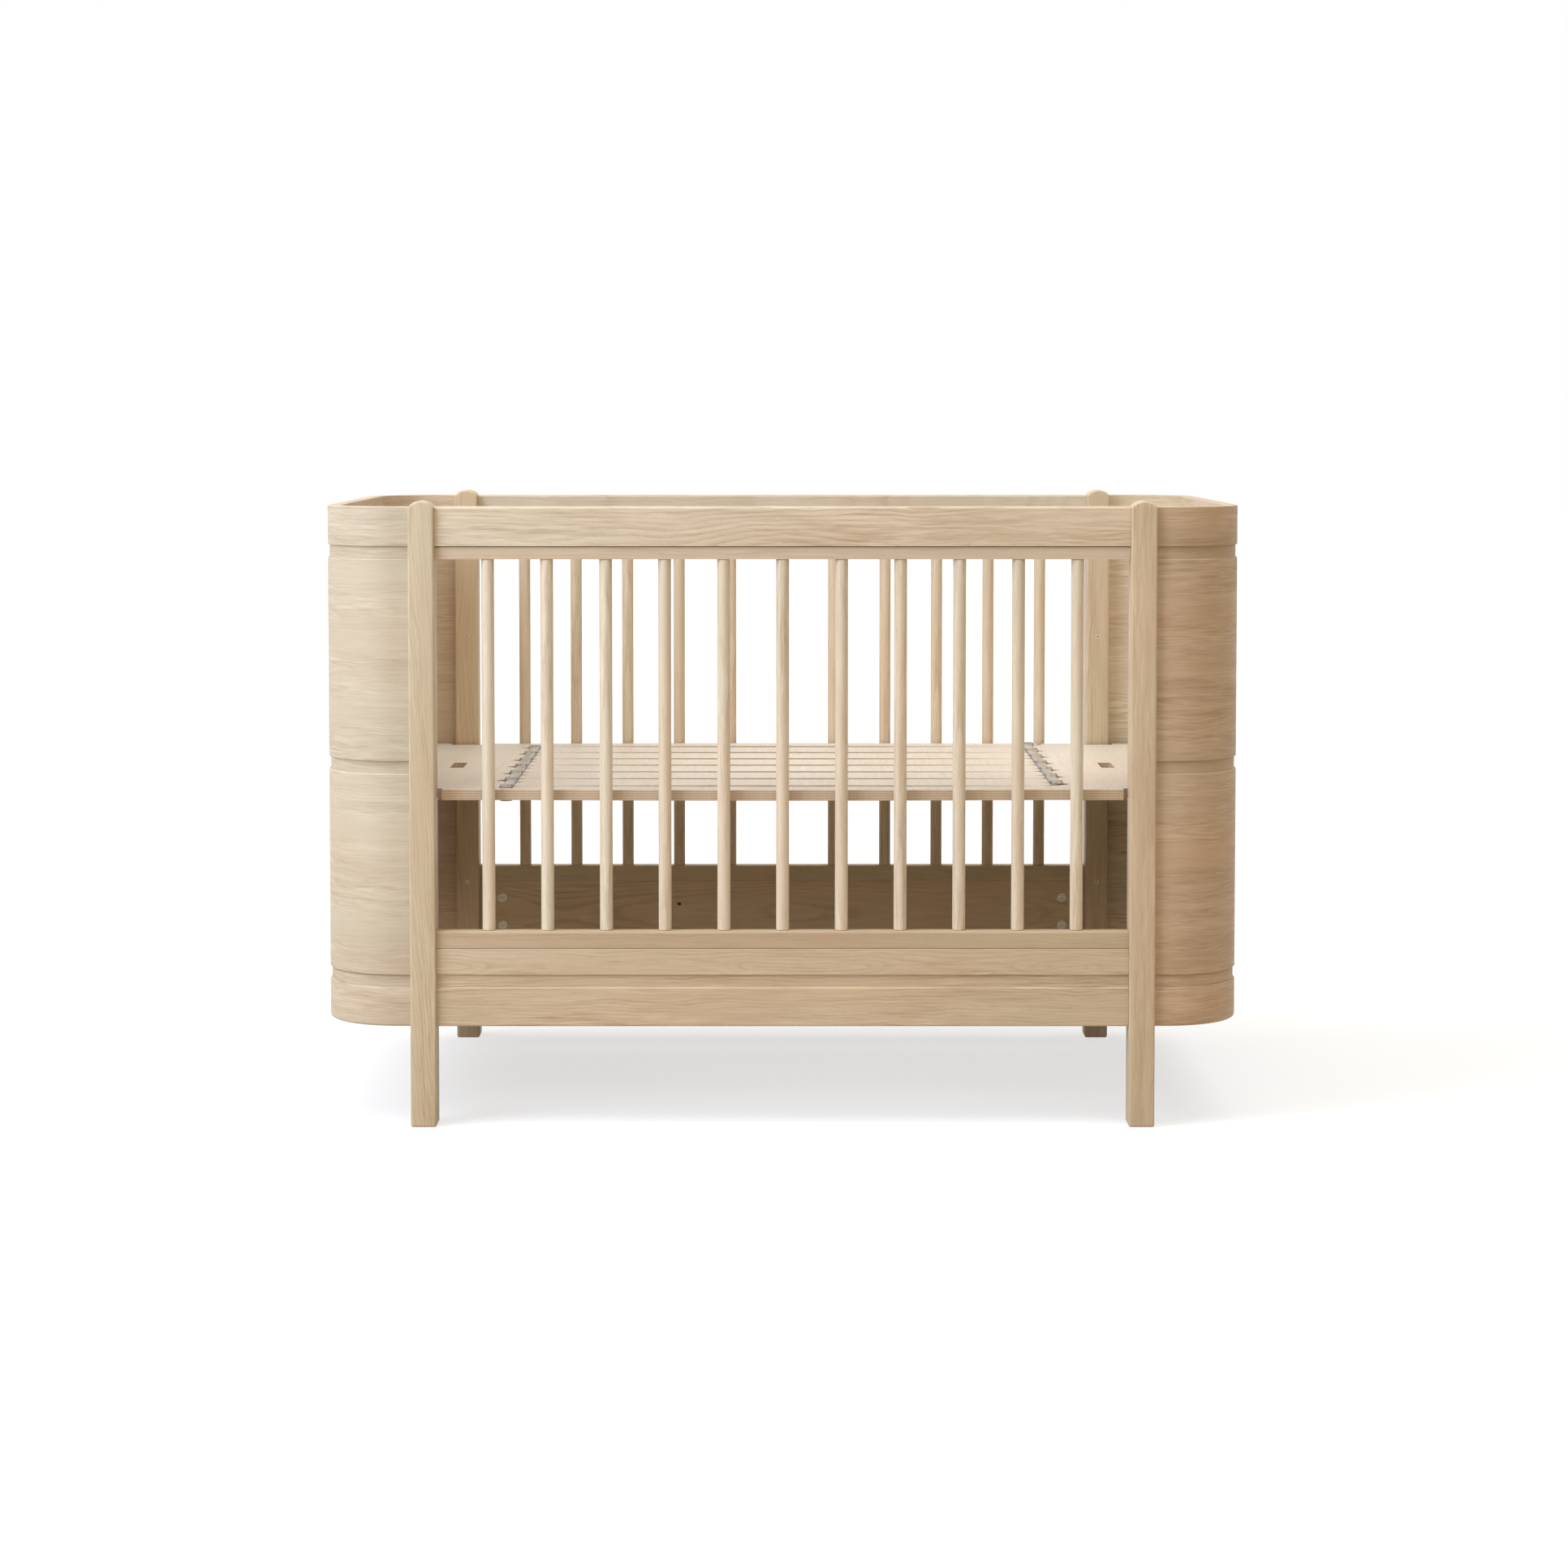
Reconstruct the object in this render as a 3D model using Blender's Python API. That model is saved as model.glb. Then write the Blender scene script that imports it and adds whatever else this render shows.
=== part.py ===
"""A baby crib: two bent plywood end shells and two spindle sides between four posts, round a slatted base.

Metres, +Z up. X runs along the crib and Y across it, with the front at -Y. The origin is on the floor, at the
middle of the footprint. Half a turn about Z leaves the crib as it is, so its pieces are made once and placed
again with that half turn.
"""

import math

import bmesh
import bpy
from mathutils import Matrix, Vector

# Overall size
LENGTH = 1.289
WIDTH = 0.740
HEIGHT = 0.876

# Gaps
TOUCH_GAP = 0.0003
BASE_CLEARANCE = 0.003
NOTCH_CLEARANCE = 0.006
HOLE_CLEARANCE = 0.0003

# Posts
POST_LENGTHWISE = 0.036
POST_CROSSWISE = 0.045
POST_PROUD = 0.008
POST_EDGE = 0.003
DOME_RISE = 0.0095
RIM_DROP = 0.008
FIXING_STEP = 0.196
FIXING_DEPTH = 0.026

# End shells
SHELL_REACH = 0.1245
SHELL_THICKNESS = 0.018
SHELL_CORNER = 0.106
SHELL_FOOT_RADIUS = 0.004
SHELL_RIM_RADIUS = 0.0015
UNDERSIDE = 0.141

# Grooves round the crib
GROOVE_HEIGHT = 0.018
GROOVE_DEPTH = 0.0025
GROOVE_LIP = 0.002
BAND_HEIGHT = 0.055

# Spindle sides
SIDE_THICKNESS = 0.022
RAIL_EDGE = 0.003
STRIP_RECESS = 0.0025
TOP_STRIP_HEIGHT = 0.018
BOTTOM_STRIP_HEIGHT = 0.0245
PANEL_HEIGHT = 0.1093
SPINDLE_COUNT = 11
SPINDLE_DIAMETER = 0.018
TENON_DIAMETER = 0.012
TENON_LENGTH = 0.010
MORTISE_DEPTH = 0.0105
SPINDLE_SETBACK = 0.020

# Cam locks and the blind hole in each lower panel
CAM_DIAMETER = 0.015
CAM_LENGTH = 0.012
CAM_FROM_POST = 0.0364
CAM_UPPER = 0.2228
CAM_LOWER = 0.1788
CROSS_SPAN = 0.009
CROSS_SLOT = 0.0022
CROSS_DEPTH = 0.002
PANEL_HOLE = (0.165, 0.2134)
PANEL_HOLE_DIAMETER = 0.006
PANEL_HOLE_DEPTH = 0.010

# Bed base
BASE_TOP = 0.471
BASE_THICKNESS = 0.015
FINGER_COUNT = 14
FINGER_GAP = 0.002
SLOT_FROM_POST = 0.0715
SLOT_POINT = 0.0325
FINGER_SHORT = 0.015
EDGE_FINGER_SHORT = 0.0075
HANDLE_FROM_POST = 0.001
HANDLE_WIDTH = 0.020
HANDLE_LENGTH = 0.079
HANDLE_RADIUS = 0.003

# Keeper strips on the ends of the fingers
KEEPER_WIDTH = 0.019
KEEPER_FROM_TIP = 0.0135
KEEPER_TOP_HEIGHT = 0.005
KEEPER_BOTTOM_HEIGHT = 0.004
KEEPER_OVERHANG = 0.012
KEEPER_BEVEL = 0.0015

# Brackets and bolts under the base
BRACKET_WIDTH = 0.032
BRACKET_LEG = 0.030
BRACKET_ARM = 0.050
BRACKET_THICKNESS = 0.0025
BOLT_DROP = 0.0095
BOLT_DIAMETER = 0.006
BOLT_HEAD_DIAMETER = 0.011
BOLT_HEAD_HEIGHT = 0.0035
BOLT_LENGTH = 0.024
SOCKET_RADIUS = 0.0023
SOCKET_DEPTH = 0.002

# Faces of curved pieces
ARC_STEPS = 10
FILLET_STEPS = 2
ROUND_SIDES = 12
SMOOTH_ANGLE = math.radians(35)
BEVEL_ANGLE = math.radians(32)

# Worked out from the sizes above
RIM = HEIGHT - RIM_DROP
FACE = WIDTH / 2 - POST_PROUD
SIDE_INNER = FACE - SIDE_THICKNESS
SHELL_INNER = FACE - SHELL_THICKNESS
POST_INNER = WIDTH / 2 - POST_CROSSWISE
POST_OUTER_X = LENGTH / 2 - SHELL_REACH
POST_X = POST_OUTER_X - POST_LENGTHWISE / 2
POST_INNER_X = POST_OUTER_X - POST_LENGTHWISE
SIDE_END = POST_INNER_X - TOUCH_GAP
RAIL_BOTTOM = RIM - BAND_HEIGHT
TOP_STRIP_TOP = RAIL_BOTTOM - TOUCH_GAP
TOP_STRIP_BOTTOM = TOP_STRIP_TOP - TOP_STRIP_HEIGHT
PANEL_TOP = UNDERSIDE + PANEL_HEIGHT
BOTTOM_STRIP_BOTTOM = PANEL_TOP + TOUCH_GAP
BOTTOM_STRIP_TOP = BOTTOM_STRIP_BOTTOM + BOTTOM_STRIP_HEIGHT
LOW_GROOVE = UNDERSIDE + BAND_HEIGHT
HIGH_GROOVE = RAIL_BOTTOM - GROOVE_HEIGHT
MIDDLE_GROOVE = (LOW_GROOVE + HIGH_GROOVE) / 2
SPINDLE_Y = WIDTH / 2 - SPINDLE_SETBACK
SPINDLE_GAP = (2 * POST_INNER_X - SPINDLE_COUNT * SPINDLE_DIAMETER) / (SPINDLE_COUNT + 1)
SPINDLE_PITCH = SPINDLE_GAP + SPINDLE_DIAMETER
BASE_BOTTOM = BASE_TOP - BASE_THICKNESS
BASE_SIDE = SIDE_INNER - BASE_CLEARANCE
FINGER_PITCH = 2 * BASE_SIDE / FINGER_COUNT
SLOT_TIP = POST_INNER_X - SLOT_FROM_POST
SLOT_ROOT = SLOT_TIP - SLOT_POINT
FINGER_TIP = SLOT_TIP - FINGER_SHORT
EDGE_FINGER_TIP = SLOT_TIP - EDGE_FINGER_SHORT
HANDLE_CENTRE = POST_INNER_X + HANDLE_FROM_POST
KEEPER_EDGE = SLOT_TIP - KEEPER_FROM_TIP
FIXING_HEIGHT = BASE_BOTTOM - BOLT_DROP
HALF_TURN = math.pi


def clear_scene():
    for obj in list(bpy.data.objects):
        bpy.data.objects.remove(obj)


def finish(name, colour, roughness, metallic=0.0):
    """A Principled material with one colour."""
    material = bpy.data.materials.new(name)
    material.use_nodes = True
    shader = material.node_tree.nodes["Principled BSDF"]
    shader.inputs["Base Color"].default_value = (*colour, 1.0)
    shader.inputs["Roughness"].default_value = roughness
    shader.inputs["Metallic"].default_value = metallic
    return material


def filleted(corners):
    """The points of a closed outline of (x, y, radius) corners, each rounded with an arc of its radius."""
    points = []
    for index, (x, y, radius) in enumerate(corners):
        corner = Vector((x, y))
        if radius == 0.0:
            points.append(corner)
            continue
        before = Vector(corners[index - 1][:2])
        after = Vector(corners[(index + 1) % len(corners)][:2])
        back = (before - corner).normalized()
        ahead = (after - corner).normalized()
        half = back.angle(ahead) / 2
        centre = corner + (back + ahead).normalized() * radius / math.sin(half)
        start = corner + back * radius / math.tan(half) - centre
        sweep_angle = start.angle_signed(corner + ahead * radius / math.tan(half) - centre)
        for step in range(FILLET_STEPS + 1):
            turn = Matrix.Rotation(-sweep_angle * step / FILLET_STEPS, 2)
            points.append(centre + turn @ start)
    return points


def arc(centre, radius, start, end):
    """Points (x, y) on an arc, from one angle to another."""
    angles = [start + (end - start) * step / ARC_STEPS for step in range(ARC_STEPS + 1)]
    return [Vector((centre[0] + radius * math.cos(a), centre[1] + radius * math.sin(a))) for a in angles]


def loft(rings):
    """A closed mesh through rings of points, one after another, with a flat cap on each end."""
    bm = bmesh.new()
    rings = [[bm.verts.new(point) for point in ring] for ring in rings]
    count = len(rings[0])
    for near, far in zip(rings, rings[1:]):
        for i in range(count):
            j = (i + 1) % count
            bm.faces.new((near[i], near[j], far[j], far[i]))
    bm.faces.new(rings[0])
    bm.faces.new(rings[-1])
    bmesh.ops.recalc_face_normals(bm, faces=bm.faces)
    return bm


def prism(outline, low, high):
    """An (x, y) outline, extruded from one height to another."""
    return loft([[(x, y, z) for x, y in outline] for z in (low, high)])


def swept(section, stations):
    """A section of (inset, height) points, carried along stations of (outer point, inward direction)."""
    return loft([[(p.x + n.x * u, p.y + n.y * u, z) for u, z in section] for p, n in stations])


def lengthwise(section):
    """A section of (inset, height) points, run along the front from post to post."""
    inward = Vector((0.0, 1.0))
    return swept(section, [(Vector((x, -FACE)), inward) for x in (-SIDE_END, SIDE_END)])


def turned(profile, sides=ROUND_SIDES):
    """A profile of (radius, height) points, turned about Z."""
    angles = [math.tau * side / sides for side in range(sides)]
    return loft([[(r * math.cos(a), r * math.sin(a), z) for a in angles] for r, z in profile])


def merged(parts):
    """One mesh that holds several, each placed with a matrix."""
    bm = bmesh.new()
    for part, matrix in parts:
        part.transform(matrix)
        scratch = bpy.data.meshes.new("scratch")
        part.to_mesh(scratch)
        part.free()
        bm.from_mesh(scratch)
        bpy.data.meshes.remove(scratch)
    return bm


def to_mesh(name, bm, material):
    mesh = bpy.data.meshes.new(name)
    bm.to_mesh(mesh)
    bm.free()
    mesh.materials.append(material)
    mesh.shade_smooth()
    mesh.set_sharp_from_angle(angle=SMOOTH_ANGLE)
    return mesh


def place(name, mesh, location=(0.0, 0.0, 0.0), rotation=(0.0, 0.0, 0.0), parent=None):
    obj = bpy.data.objects.new(name, mesh)
    bpy.context.scene.collection.objects.link(obj)
    obj.parent = parent
    obj.location = location
    obj.rotation_euler = rotation
    return obj


def with_modifiers(mesh, add):
    """The mesh that an object of this mesh has once add(object) has given it modifiers."""
    obj = place("scratch", mesh)
    add(obj)
    bpy.context.view_layer.update()
    graph = bpy.context.evaluated_depsgraph_get()
    made = bpy.data.meshes.new_from_object(obj.evaluated_get(graph))
    made.name = mesh.name
    bpy.data.objects.remove(obj)
    made.shade_smooth()
    made.set_sharp_from_angle(angle=SMOOTH_ANGLE)
    return made


def cut(mesh, cutter_bm):
    """The mesh with the cutter's solids taken out of it."""
    cutter_mesh = bpy.data.meshes.new("cutter")
    cutter_bm.to_mesh(cutter_mesh)
    cutter_bm.free()
    cutter = place("cutter", cutter_mesh)
    cutter.hide_render = True
    cutter.display_type = "WIRE"

    def add(obj):
        boolean = obj.modifiers.new("cut", "BOOLEAN")
        boolean.operation = "DIFFERENCE"
        boolean.solver = "EXACT"
        boolean.object = cutter

    made = with_modifiers(mesh, add)
    bpy.data.objects.remove(cutter)
    return made


def bevelled(mesh, width, segments):
    """The mesh with its sharp edges rounded."""

    def add(obj):
        bevel = obj.modifiers.new("edges", "BEVEL")
        bevel.width = width
        bevel.segments = segments
        bevel.limit_method = "ANGLE"
        bevel.angle_limit = BEVEL_ANGLE

    return with_modifiers(mesh, add)


def corners(x, y):
    """The name, place and turn of what stands at all four corners and was made for a front one."""
    return [
        ("front_left", (-x, -y), 0.0),
        ("front_right", (x, -y), 0.0),
        ("back_left", (-x, y), HALF_TURN),
        ("back_right", (x, y), HALF_TURN),
    ]


def both_sides(name, mesh):
    """Place a front piece, and the same piece at the back."""
    place(name + "_front", mesh)
    place(name + "_back", mesh, rotation=(0.0, 0.0, HALF_TURN))


def outer_face(bottom, top, grooves, bottom_radius, top_radius):
    """Corners (inset, height, radius) up an outer face.

    Each groove has a soft lower lip and a sharp upper one.
    """
    points = [(0.0, bottom, bottom_radius)]
    for low in grooves:
        points += [
            (0.0, low, GROOVE_LIP),
            (GROOVE_DEPTH, low, 0.0),
            (GROOVE_DEPTH, low + GROOVE_HEIGHT, 0.0),
            (0.0, low + GROOVE_HEIGHT, 0.0),
        ]
    return points + [(0.0, top, top_radius)]


def facing_in(x, y, z):
    """The matrix that stands a piece turned about Z on end, with its top facing in from the front."""
    return Matrix.Translation((x, y, z)) @ Matrix.Rotation(-math.pi / 2, 4, "X")


def make_posts(oak):
    """Square posts with a dome across the top, and a bolt hole at each height of the base."""
    half = POST_LENGTHWISE / 2
    dome_radius = (half**2 + DOME_RISE**2) / (2 * DOME_RISE)
    dome_half = math.asin(half / dome_radius)
    dome = arc((0.0, HEIGHT - dome_radius), dome_radius, math.pi / 2 - dome_half, math.pi / 2 + dome_half)
    outline = [Vector((-half, 0.0)), Vector((half, 0.0)), *dome]
    faces = (-POST_CROSSWISE / 2, POST_CROSSWISE / 2)
    post = to_mesh("post", loft([[(x, y, z) for x, z in outline] for y in faces]), oak)
    post = bevelled(post, POST_EDGE, FILLET_STEPS)
    radius = BOLT_DIAMETER / 2 + HOLE_CLEARANCE
    holes = [
        (
            turned([(radius, -FIXING_DEPTH), (radius, FIXING_DEPTH)]),
            facing_in(0.0, POST_CROSSWISE / 2, FIXING_HEIGHT + step * FIXING_STEP),
        )
        for step in (-1, 0, 1)
    ]
    post = cut(post, merged(holes))
    for name, (x, y), turn in corners(POST_X, WIDTH / 2 - POST_CROSSWISE / 2):
        place("post_" + name, post, (x, y, 0.0), (0.0, 0.0, turn))


def shell_stations():
    """Outer points and inward directions from the front post round the left end to the back post."""
    start = -POST_OUTER_X - TOUCH_GAP
    centre = (-LENGTH / 2 + SHELL_CORNER, FACE - SHELL_CORNER)
    stations = [(Vector((start, -FACE)), Vector((0.0, 1.0)))]
    for side, (first, last) in ((-1, (1.5, 1.0)), (1, (1.0, 0.5))):
        middle = Vector((centre[0], side * centre[1]))
        for point in arc(middle, SHELL_CORNER, first * math.pi, last * math.pi):
            stations.append((point, (middle - point).normalized()))
    stations.append((Vector((start, FACE)), Vector((0.0, -1.0))))
    return stations


def make_end_shells(oak):
    """A bent U of plywood at each end, with three grooves round its outside."""
    section = outer_face(
        UNDERSIDE, RIM, (LOW_GROOVE, MIDDLE_GROOVE, HIGH_GROOVE), SHELL_FOOT_RADIUS, SHELL_RIM_RADIUS
    )
    section += [(SHELL_THICKNESS, RIM, SHELL_RIM_RADIUS), (SHELL_THICKNESS, UNDERSIDE, SHELL_RIM_RADIUS)]
    shell = to_mesh("end_shell", swept(filleted(section), shell_stations()), oak)
    place("end_shell_left", shell)
    place("end_shell_right", shell, rotation=(0.0, 0.0, HALF_TURN))


def make_top_rails(oak):
    section = [
        (0.0, RAIL_BOTTOM, 0.0),
        (0.0, RIM, RAIL_EDGE),
        (SIDE_THICKNESS, RIM, RAIL_EDGE),
        (SIDE_THICKNESS, RAIL_BOTTOM, 0.0),
    ]
    both_sides("top_rail", to_mesh("top_rail", lengthwise(filleted(section)), oak))


def spindle_places():
    first = -(SPINDLE_COUNT - 1) / 2
    return [(first + index) * SPINDLE_PITCH for index in range(SPINDLE_COUNT)]


def mortises(height):
    """Blind holes for the spindles' tenons, to both sides of a height."""
    radius = TENON_DIAMETER / 2 + HOLE_CLEARANCE
    profile = [(radius, -MORTISE_DEPTH), (radius, MORTISE_DEPTH)]
    return merged([(turned(profile), Matrix.Translation((x, -SPINDLE_Y, height))) for x in spindle_places()])


def make_spindle_rails(oak):
    """The strips that hold the spindles, under each top rail and on each lower panel."""
    top = [
        (STRIP_RECESS, TOP_STRIP_BOTTOM, 0.0),
        (STRIP_RECESS, TOP_STRIP_TOP, RAIL_EDGE),
        (SIDE_THICKNESS, TOP_STRIP_TOP, 0.0),
        (SIDE_THICKNESS, TOP_STRIP_BOTTOM, 0.0),
    ]
    mesh = to_mesh("spindle_rail_top", lengthwise(filleted(top)), oak)
    both_sides("spindle_rail_top", cut(mesh, mortises(TOP_STRIP_BOTTOM)))
    bottom = [
        (0.0, BOTTOM_STRIP_BOTTOM, GROOVE_LIP / 2),
        (0.0, BOTTOM_STRIP_TOP, RAIL_EDGE),
        (SIDE_THICKNESS, BOTTOM_STRIP_TOP, RAIL_EDGE),
        (SIDE_THICKNESS, BOTTOM_STRIP_BOTTOM, 0.0),
    ]
    mesh = to_mesh("spindle_rail_bottom", lengthwise(filleted(bottom)), oak)
    both_sides("spindle_rail_bottom", cut(mesh, mortises(BOTTOM_STRIP_TOP)))


def make_spindles(oak):
    """Round spindles with a tenon on each end."""
    radius = SPINDLE_DIAMETER / 2
    tenon = TENON_DIAMETER / 2
    low = BOTTOM_STRIP_TOP + TOUCH_GAP
    high = TOP_STRIP_BOTTOM - TOUCH_GAP
    profile = [
        (tenon, low - TENON_LENGTH),
        (tenon, low),
        (radius, low),
        (radius, high),
        (tenon, high),
        (tenon, high + TENON_LENGTH),
    ]
    spindle = to_mesh("spindle", turned(profile), oak)
    for number, x in enumerate(spindle_places(), 1):
        place(f"spindle_front_{number:02d}", spindle, (x, -SPINDLE_Y, 0.0))
        place(f"spindle_back_{number:02d}", spindle, (x, SPINDLE_Y, 0.0), (0.0, 0.0, HALF_TURN))


def cam_places():
    x = POST_INNER_X - CAM_FROM_POST
    return [(side * x, height) for side in (-1, 1) for height in (CAM_UPPER, CAM_LOWER)]


def make_lower_panels(oak):
    """Grooved panels below the spindles, bored from inside for the cam locks."""
    section = outer_face(UNDERSIDE, PANEL_TOP, (LOW_GROOVE,), GROOVE_LIP, GROOVE_LIP / 2)
    section += [(SIDE_THICKNESS, PANEL_TOP, 0.0), (SIDE_THICKNESS, UNDERSIDE, GROOVE_LIP)]
    panel = to_mesh("lower_panel", lengthwise(filleted(section)), oak)
    cam_radius = CAM_DIAMETER / 2 + HOLE_CLEARANCE
    cam_depth = CAM_LENGTH + HOLE_CLEARANCE
    bores = [
        (turned([(cam_radius, -cam_depth), (cam_radius, cam_depth)]), facing_in(x, -SIDE_INNER, z))
        for x, z in cam_places()
    ]
    hole_x, hole_z = PANEL_HOLE
    hole_radius = PANEL_HOLE_DIAMETER / 2
    hole = turned([(hole_radius, -PANEL_HOLE_DEPTH), (hole_radius, PANEL_HOLE_DEPTH)])
    bores.append((hole, facing_in(hole_x, -SIDE_INNER, hole_z)))
    both_sides("lower_panel", cut(panel, merged(bores)))


def make_cam_locks(zinc):
    """Round cams with a cross slot, flush with the inside of the lower panels."""
    radius = CAM_DIAMETER / 2
    cam = to_mesh("cam_lock", turned([(radius, -CAM_LENGTH), (radius, 0.0)]), zinc)
    arm = CROSS_SPAN / 2
    slot = CROSS_SLOT / 2
    quarter = [(arm, -slot), (arm, slot), (slot, slot)]
    turns = ((1, 0), (0, 1), (-1, 0), (0, -1))
    cross = [(x * c - y * s, x * s + y * c) for c, s in turns for x, y in quarter]
    cam = cut(cam, prism(cross, -CROSS_DEPTH, CROSS_DEPTH))
    for x, z in cam_places():
        height = "upper" if z == CAM_UPPER else "lower"
        side, far_side = ("left", "right") if x < 0 else ("right", "left")
        place(f"cam_lock_front_{side}_{height}", cam, (x, -SIDE_INNER, z), (-math.pi / 2, 0.0, 0.0))
        place(f"cam_lock_back_{far_side}_{height}", cam, (-x, SIDE_INNER, z), (-math.pi / 2, 0.0, HALF_TURN))


def finger_outline():
    """The fingered side of the left comb, from its front edge to its back edge.

    Fingers 1, 3, 5 ... belong to this comb and point to +X. The slots between them take the other comb's
    fingers 0, 2, 4 ... and end in a V. A finger ends in the same V, short of the slot's end.
    """
    finger_half = (FINGER_PITCH - FINGER_GAP) / 2
    slot_half = (FINGER_PITCH + FINGER_GAP) / 2
    point_length = finger_half * SLOT_POINT / slot_half
    centres = [-BASE_SIDE + (index + 0.5) * FINGER_PITCH for index in range(FINGER_COUNT)]
    points = [(-SLOT_TIP, -BASE_SIDE)]
    for index, y in enumerate(centres):
        if index % 2 == 0:
            points += [(-SLOT_TIP, y)]
            continue
        points += [(-SLOT_ROOT, y - finger_half), (FINGER_TIP - point_length, y - finger_half)]
        points += [(FINGER_TIP, y)]
        if index < FINGER_COUNT - 1:
            points += [(FINGER_TIP - point_length, y + finger_half), (-SLOT_ROOT, y + finger_half)]
    return points + [(EDGE_FINGER_TIP, centres[-1]), (EDGE_FINGER_TIP, BASE_SIDE)]


def end_outline():
    """The left end of the base from its back edge to its front edge, notched round the posts."""
    inner_x = POST_INNER_X - NOTCH_CLEARANCE
    outer_x = POST_OUTER_X + NOTCH_CLEARANCE
    notch_y = POST_INNER - NOTCH_CLEARANCE
    shell_y = SHELL_INNER - BASE_CLEARANCE
    radius = SHELL_CORNER - SHELL_THICKNESS - BASE_CLEARANCE
    middle = (-LENGTH / 2 + SHELL_CORNER, FACE - SHELL_CORNER)
    half = [(-inner_x, BASE_SIDE), (-inner_x, notch_y), (-outer_x, notch_y), (-outer_x, shell_y)]
    half += [tuple(point) for point in arc(middle, radius, math.pi / 2, math.pi)]
    return half + [(x, -y) for x, y in reversed(half)]


def make_base_combs(plywood, base):
    """Two plywood combs whose fingers lie between each other's, each with a slot to lift it by."""
    thickness = (-BASE_THICKNESS, 0.0)
    comb = to_mesh("base_comb", prism(finger_outline() + end_outline(), *thickness), plywood)
    handle = [
        (-HANDLE_CENTRE + x * HANDLE_WIDTH / 2, y * HANDLE_LENGTH / 2, HANDLE_RADIUS)
        for x, y in ((-1, -1), (1, -1), (1, 1), (-1, 1))
    ]
    comb = cut(comb, prism(filleted(handle), -2 * BASE_THICKNESS, BASE_THICKNESS))
    place("base_comb_left", comb, parent=base)
    place("base_comb_right", comb, rotation=(0.0, 0.0, HALF_TURN), parent=base)


def make_keeper_strips(zinc, base):
    """Strips above and below the base, over the ends of the right comb's fingers and, turned, the left's."""
    first = -BASE_SIDE + 0.5 * FINGER_PITCH - KEEPER_OVERHANG / 2
    last = BASE_SIDE - 1.5 * FINGER_PITCH + KEEPER_OVERHANG / 2
    xs = (-KEEPER_EDGE, -KEEPER_EDGE + KEEPER_WIDTH)
    outline = [(xs[0], first), (xs[1], first), (xs[1], last), (xs[0], last)]
    above = (TOUCH_GAP, TOUCH_GAP + KEEPER_TOP_HEIGHT)
    below = (-BASE_THICKNESS - TOUCH_GAP - KEEPER_BOTTOM_HEIGHT, -BASE_THICKNESS - TOUCH_GAP)
    for level, span in (("top", above), ("bottom", below)):
        strip = to_mesh(f"keeper_strip_{level}", prism(outline, *span), zinc)
        strip = bevelled(strip, KEEPER_BEVEL, 1)
        place(f"keeper_strip_{level}_left", strip, parent=base)
        place(f"keeper_strip_{level}_right", strip, rotation=(0.0, 0.0, HALF_TURN), parent=base)


def make_base_brackets(steel):
    """Angle brackets on the posts' inner faces. The base rests on their arms."""
    top = -TOUCH_GAP
    section = [
        (TOUCH_GAP, top, 0.0),
        (TOUCH_GAP, top - BRACKET_LEG, 0.0),
        (TOUCH_GAP + BRACKET_THICKNESS, top - BRACKET_LEG, 0.0),
        (TOUCH_GAP + BRACKET_THICKNESS, top - BRACKET_THICKNESS, 0.0),
        (BRACKET_ARM, top - BRACKET_THICKNESS, 0.0),
        (BRACKET_ARM, top, 0.0),
    ]
    half = BRACKET_WIDTH / 2
    bracket = loft([[(x, u, z) for u, z, _ in section] for x in (-half, half)])
    radius = BOLT_DIAMETER / 2 + HOLE_CLEARANCE
    hole = turned([(radius, -BRACKET_LEG), (radius, 2 * BRACKET_THICKNESS)])
    hole.transform(facing_in(0.0, 0.0, -BOLT_DROP))
    bracket = cut(to_mesh("base_bracket", bracket, steel), hole)
    for name, (x, y), turn in corners(POST_X, POST_INNER):
        place("base_bracket_" + name, bracket, (x, y, BASE_BOTTOM), (0.0, 0.0, turn))


def make_bracket_bolts(steel):
    """Socket-headed bolts through the brackets into the posts."""
    radius = BOLT_DIAMETER / 2
    head_radius = BOLT_HEAD_DIAMETER / 2
    under_head = 2 * TOUCH_GAP + BRACKET_THICKNESS
    crown = under_head + BOLT_HEAD_HEIGHT
    profile = [
        (radius, under_head - BOLT_LENGTH),
        (radius, under_head),
        (head_radius, under_head),
        (head_radius, crown - BOLT_HEAD_HEIGHT / 3),
        (head_radius - BOLT_HEAD_HEIGHT / 3, crown),
    ]
    bolt = to_mesh("bracket_bolt", turned(profile), steel)
    hexagon_sides = 6
    socket_ends = [(SOCKET_RADIUS, crown - SOCKET_DEPTH), (SOCKET_RADIUS, crown + SOCKET_DEPTH)]
    socket = turned(socket_ends, hexagon_sides)
    bolt = cut(bolt, socket)
    for name, (x, y), turn in corners(POST_X, POST_INNER):
        place("bracket_bolt_" + name, bolt, (x, y, FIXING_HEIGHT), (-math.pi / 2, 0.0, turn))


def make_crib():
    oak = finish("oak", (0.62, 0.47, 0.31), 0.55)
    plywood = finish("plywood", (0.72, 0.58, 0.42), 0.6)
    zinc = finish("zinc", (0.62, 0.60, 0.57), 0.4, 0.9)
    steel = finish("steel", (0.55, 0.54, 0.52), 0.35, 1.0)
    make_posts(oak)
    make_end_shells(oak)
    make_top_rails(oak)
    make_spindle_rails(oak)
    make_spindles(oak)
    make_lower_panels(oak)
    make_cam_locks(zinc)
    make_base_brackets(steel)
    make_bracket_bolts(steel)
    # The base slides straight up from here, so its pieces hang on an empty at its top face.
    base = place("bed_base_slide", None, (0.0, 0.0, BASE_TOP))
    make_base_combs(plywood, base)
    make_keeper_strips(zinc, base)


clear_scene()
make_crib()
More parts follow.
